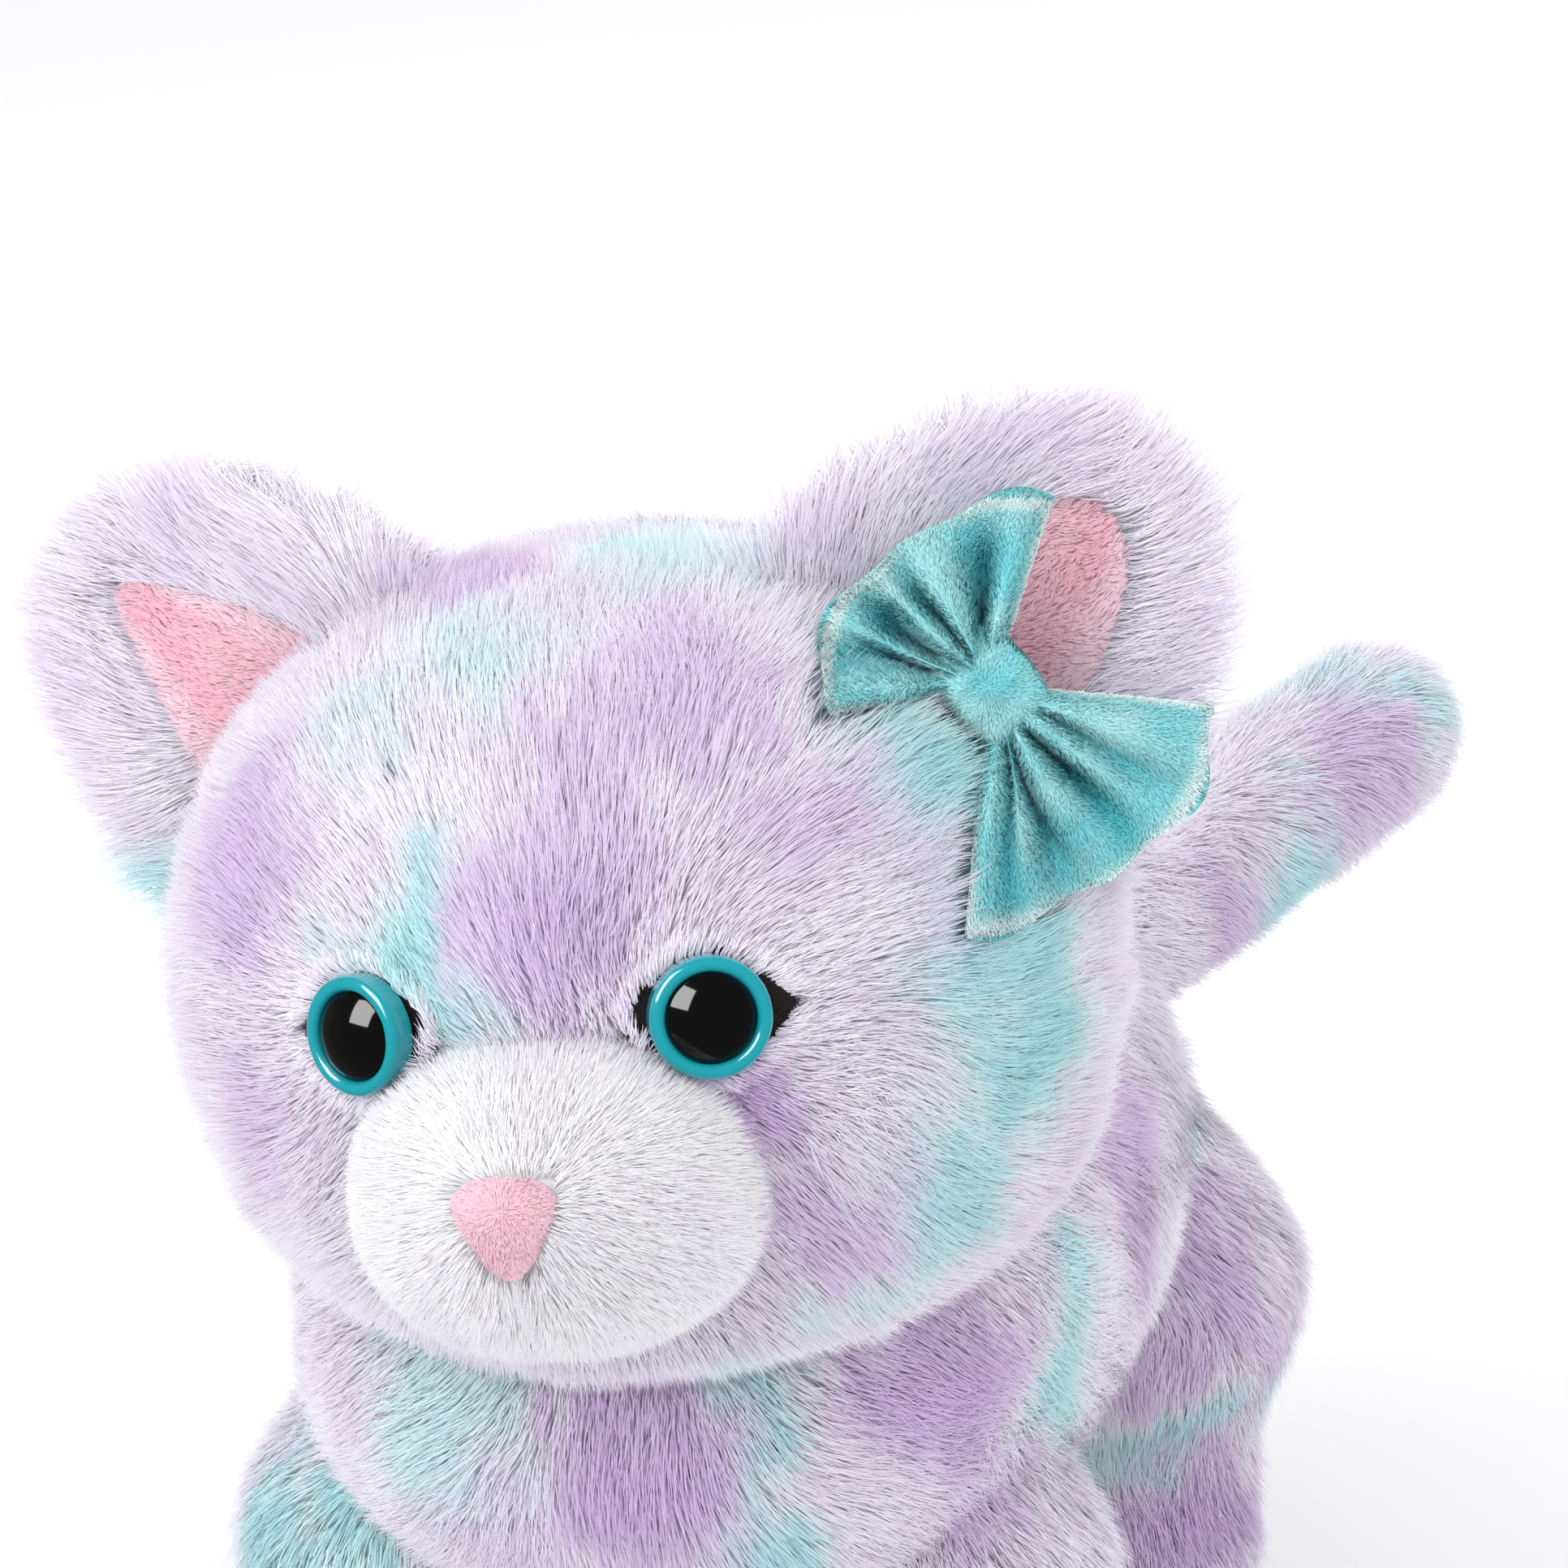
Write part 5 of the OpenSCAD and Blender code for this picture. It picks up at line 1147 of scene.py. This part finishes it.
bodySkin = bodySkinOf()
bodyStyle = {"length": 10, "density": 4.8, "width": 0.24, "lift": 54}
grooveStyle = {"length": 1.6, "density": 8, "width": 0.24, "lift": 26, "fall": 10}
dress(
    ("body_skin", "body_fur"), bodySkin, furMaterial, bodyStyle, bodyFlow,
    ("torso", "tie_dye_fur", "body_plush", 0.8), tieDye,
    keep=bodyKeep, lengthAt=bodyLength, avoid=lambda p: inGroove(p) | inHeadRoom(p, 0))
nap = growFur(
    "groove_fur", bodySkin, furMaterial, grooveStyle, bodyFlow, lambda p, n: inGroove(p), dye=tieDye)
rideOn(nap, "torso", "tie_dye_fur")
print("body made")

# Legs
legStyle = {"length": 9, "density": 4.4, "width": 0.25, "lift": 53}
soleRings = {0.0: 0.94, 0.6: 0.97, 2.0: 0.99}  # height and share of the width, where the sole's edge is round
legRings = 44


def grounded(p):
    return np.column_stack([p[:, :2], np.maximum(p[:, 2], 0.4)])


def legFlow(p, n):
    return [0, 0.12, -1.0] + 0 * p


def legLength(p):
    return np.clip(0.45 + p[:, 2] / 50, 0.45, 1)


def legKeep(p, n):  # none under the body's skin or the sole
    return (bodyLevel(p, -2) > 1) & ~((p[:, 2] < 2.5) & (n[:, 2] < -0.3))


def makeLeg(name, leg):
    z = np.concatenate([list(soleRings), np.linspace(4, leg["z"] - 0.6, legRings)])
    w, d, m = legSection(leg, z)
    share = np.array(list(soleRings.values()) + [1.0] * legRings)
    around = circle(72)
    x = ((w - 0.5) * share)[:, None] * np.cos(around)
    y = m[:, None] + ((d - 0.5) * share)[:, None] * np.sin(around)
    ends = [[0, m[0], 0], [0, m[-1], leg["z"]]]
    skin = tubeSkin(toy.move(*leg["at"], 0), x, y, z[:, None], ends)
    skin = trimmed(skin, bodyLevel(skin["verts"], -7) < 1)
    dress(
        (name + "_skin", name + "_fur"), skin, furMaterial, legStyle, legFlow,
        ("torso", "tie_dye_fur", name, 0.8), tieDye,
        keep=legKeep, lengthAt=legLength, after=grounded, avoid=inDoorWay)


for legName, legSettings in legs.items():
    makeLeg(legName, legSettings)
print("legs made")


# Tail
def tailSkinOf():
    root, tip = [0.006, 0.014, 0.026, 0.045, 0.07], [0.9, 0.93, 0.955, 0.975, 0.988, 0.996]
    s = np.concatenate([root, np.linspace(0.1, 0.86, 36), tip])
    rise = math.radians(tail["rise"])
    e = np.maximum(0, np.maximum((0.1 - s) / 0.1, (s - 0.84) / 0.16))
    thick = lerp(tail["root"], tail["tip"], s) / 2 - tail["inset"]
    r = (thick * np.sqrt(np.maximum(0, 1 - e * e)))[:, None]
    around = circle(48)
    start, z, out = tail["from"], tail["z"], tail["long"] * s
    x = r * np.cos(around)
    y = (start + out)[:, None] - r * np.sin(around) * math.sin(rise)
    up = (z + out * math.tan(rise))[:, None] + r * np.sin(around) * math.cos(rise)
    far = tail["long"] - 0.4
    ends = [[0, start + 0.4, z + 0.1], [0, start + far, z + far * math.tan(rise)]]
    return tubeSkin(tailPlace, x, y, up, ends)


def tailFlow(p, n):
    axis = tailPlace.aim(np.array([0, 1, math.tan(math.radians(tail["rise"]))]))
    return 0.6 * axis + [0, 0, -0.7] + 0 * p


def tailLength(p):
    return np.clip(0.75 + (tailPlace.back(p)[:, 1] - 50) / 60, 0.75, 1)


dress(
    ("tail_skin", "tail_fur"), tailSkinOf(), furMaterial, tail, tailFlow,
    ("tail", "tie_dye_fur", "tail_plush", 0.8), tieDye, lengthAt=tailLength)
print("tail made")

# Materials of the hard pieces
teal = Paint("teal_plastic", {"Roughness": 0.16, "Coat Weight": 0.8, "Coat Roughness": 0.05})
teal.set("Base Color", teal.mix(teal.speckle(300.0), rgb("1aa3ae"), rgb("0f8693")))
gloss = Paint("black_gloss", {"Base Color": rgb("050506")})
gloss.set("Roughness", gloss.speckle(80.0) * 0.03 + 0.05)
plastics = {  # light and dark colour, roughness and metallic
    "white_plastic": ("efefec", "e4e4e0", 0.38, 0.0),
    "grey_plastic": ("c9cbce", "bcbec2", 0.42, 0.0),
    "black_plastic": ("2a2a2c", "202022", 0.4, 0.0),
    "plain_steel": ("b9bbbf", "a6a8ad", 0.24, 1.0),
    "cell_metal": ("8f9296", "7c7f84", 0.3, 0.6),
    "green_board": ("2f7a52", "276a46", 0.45, 0.0),
}
hard = {"teal_plastic": teal.material, "black_gloss": gloss.material}
for name, (light, dark, roughness, metallic) in plastics.items():
    paint = Paint(name, {"Metallic": metallic})
    paint.set("Base Color", paint.mix(paint.speckle(160.0), rgb(light), rgb(dark)))
    paint.set("Roughness", paint.speckle(400.0) * 0.12 + roughness)
    hard[name] = paint.material
for part in frame["record"]["subparts"]:
    if part["material_slot"] in hard:
        mesh = frame["nodes"][part["node"]].data
        mesh.materials.clear()
        mesh.materials.append(hard[part["material_slot"]])
print("hard pieces painted")


def standing(right, up, ahead, at):
    return Matrix([[right[k], up[k], -ahead[k], at[k]] for k in range(3)] + [[0, 0, 0, 1]])


# Camera at the photo's view; "at" is the pixel where the head's middle shows
camera = {
    "azimuth": 15, "elevation": 20, "distance": 0.85, "focus": 6735.0, "frame": 1932, "at": (800, 1180),
    "sensor": 36.0,
}
az, el = math.radians(camera["azimuth"]), math.radians(camera["elevation"])
back = np.array([math.sin(az) * math.cos(el), -math.cos(az) * math.cos(el), math.sin(el)])
half = camera["frame"] / 2
right = unit(np.cross(-back, [0, 0, 1.0]))
up = np.cross(right, -back)
shiftX, shiftY = (half - camera["at"][0]) / camera["focus"], (camera["at"][1] - half) / camera["focus"]
forward = unit(-back + shiftX * right + shiftY * up)
right = unit(right - forward * np.dot(right, forward))
lens = bpy.data.cameras.new("photo_view")
lens.sensor_width, lens.lens = camera["sensor"], camera["sensor"] * camera["focus"] / camera["frame"]
viewer = addObject("photo_view", lens)
eyeAt = headPlace.t * metres + camera["distance"] * back
viewer.matrix_world = standing(right, np.cross(right, forward), forward, eyeAt)
bpy.context.scene.camera = viewer

# Floor and light
floorPaint = Paint("floor_paper", {"Roughness": 0.9, "Specular IOR Level": 0.1})
floorPaint.set("Base Color", floorPaint.mix(floorPaint.speckle(3.0), rgb("f1f1f3"), rgb("eeeef1")))
mesh = bpy.data.meshes.new("floor")
mesh.from_pydata([(-3, -3, 0), (3, -3, 0), (3, 3, 0), (-3, 3, 0)], [], [(0, 1, 2, 3)])
mesh.materials.append(floorPaint.material)
floor = addObject("floor", mesh)
floor.visible_glossy = False
world = bpy.data.worlds.new("studio")
world.use_nodes = True
bpy.context.scene.world = world
sky = world.node_tree.nodes["Background"]
sky.inputs["Color"].default_value = (1, 1, 1, 1)
air = Nodes(world.node_tree)
glossy = air.node("ShaderNodeLightPath", {}, (), "Is Glossy Ray")
seen = air.node("ShaderNodeLightPath", {}, (), "Is Camera Ray")
strength = air.node("ShaderNodeMapRange", {}, (glossy, 0.0, 1.0, 0.95, 0.12))
air.feed(sky.inputs["Strength"], strength.math("MAXIMUM", seen))
lamps = {  # in metres and watts; the window alone shows in the eyes, and gives no other light
    "key": {"at": (-0.75, -1.0, 1.15), "to": (0, -0.05, 0.15), "size": 1.0, "power": 11.0},
    "fill": {"at": (1.3, -1.3, 1.3), "to": (0, -0.05, 0.15), "size": 1.2, "power": 8.5},
    "back": {"at": (0.4, 1.5, 1.5), "to": (0, 0.03, 0.15), "size": 1.2, "power": 8.0},
    "window": {"at": (-0.62, -1.0, 1.0), "to": (0, -0.05, 0.15), "size": 0.9, "power": 26.0},
}
for lampName, lamp in lamps.items():
    data = bpy.data.lights.new(lampName, "AREA")
    data.shape, data.size, data.energy = "SQUARE", lamp["size"], lamp["power"]
    obj = addObject(lampName, data)
    aim = unit(np.array(lamp["to"], float) - np.array(lamp["at"], float))
    side = unit(np.cross(aim, [0.0, 0.1, 1.0]))
    obj.matrix_world = standing(side, np.cross(side, aim), aim, lamp["at"])
    obj.visible_glossy = lampName == "window"
    obj.visible_diffuse = not obj.visible_glossy
bpy.context.scene.view_settings.view_transform = "Standard"
print("stage made")
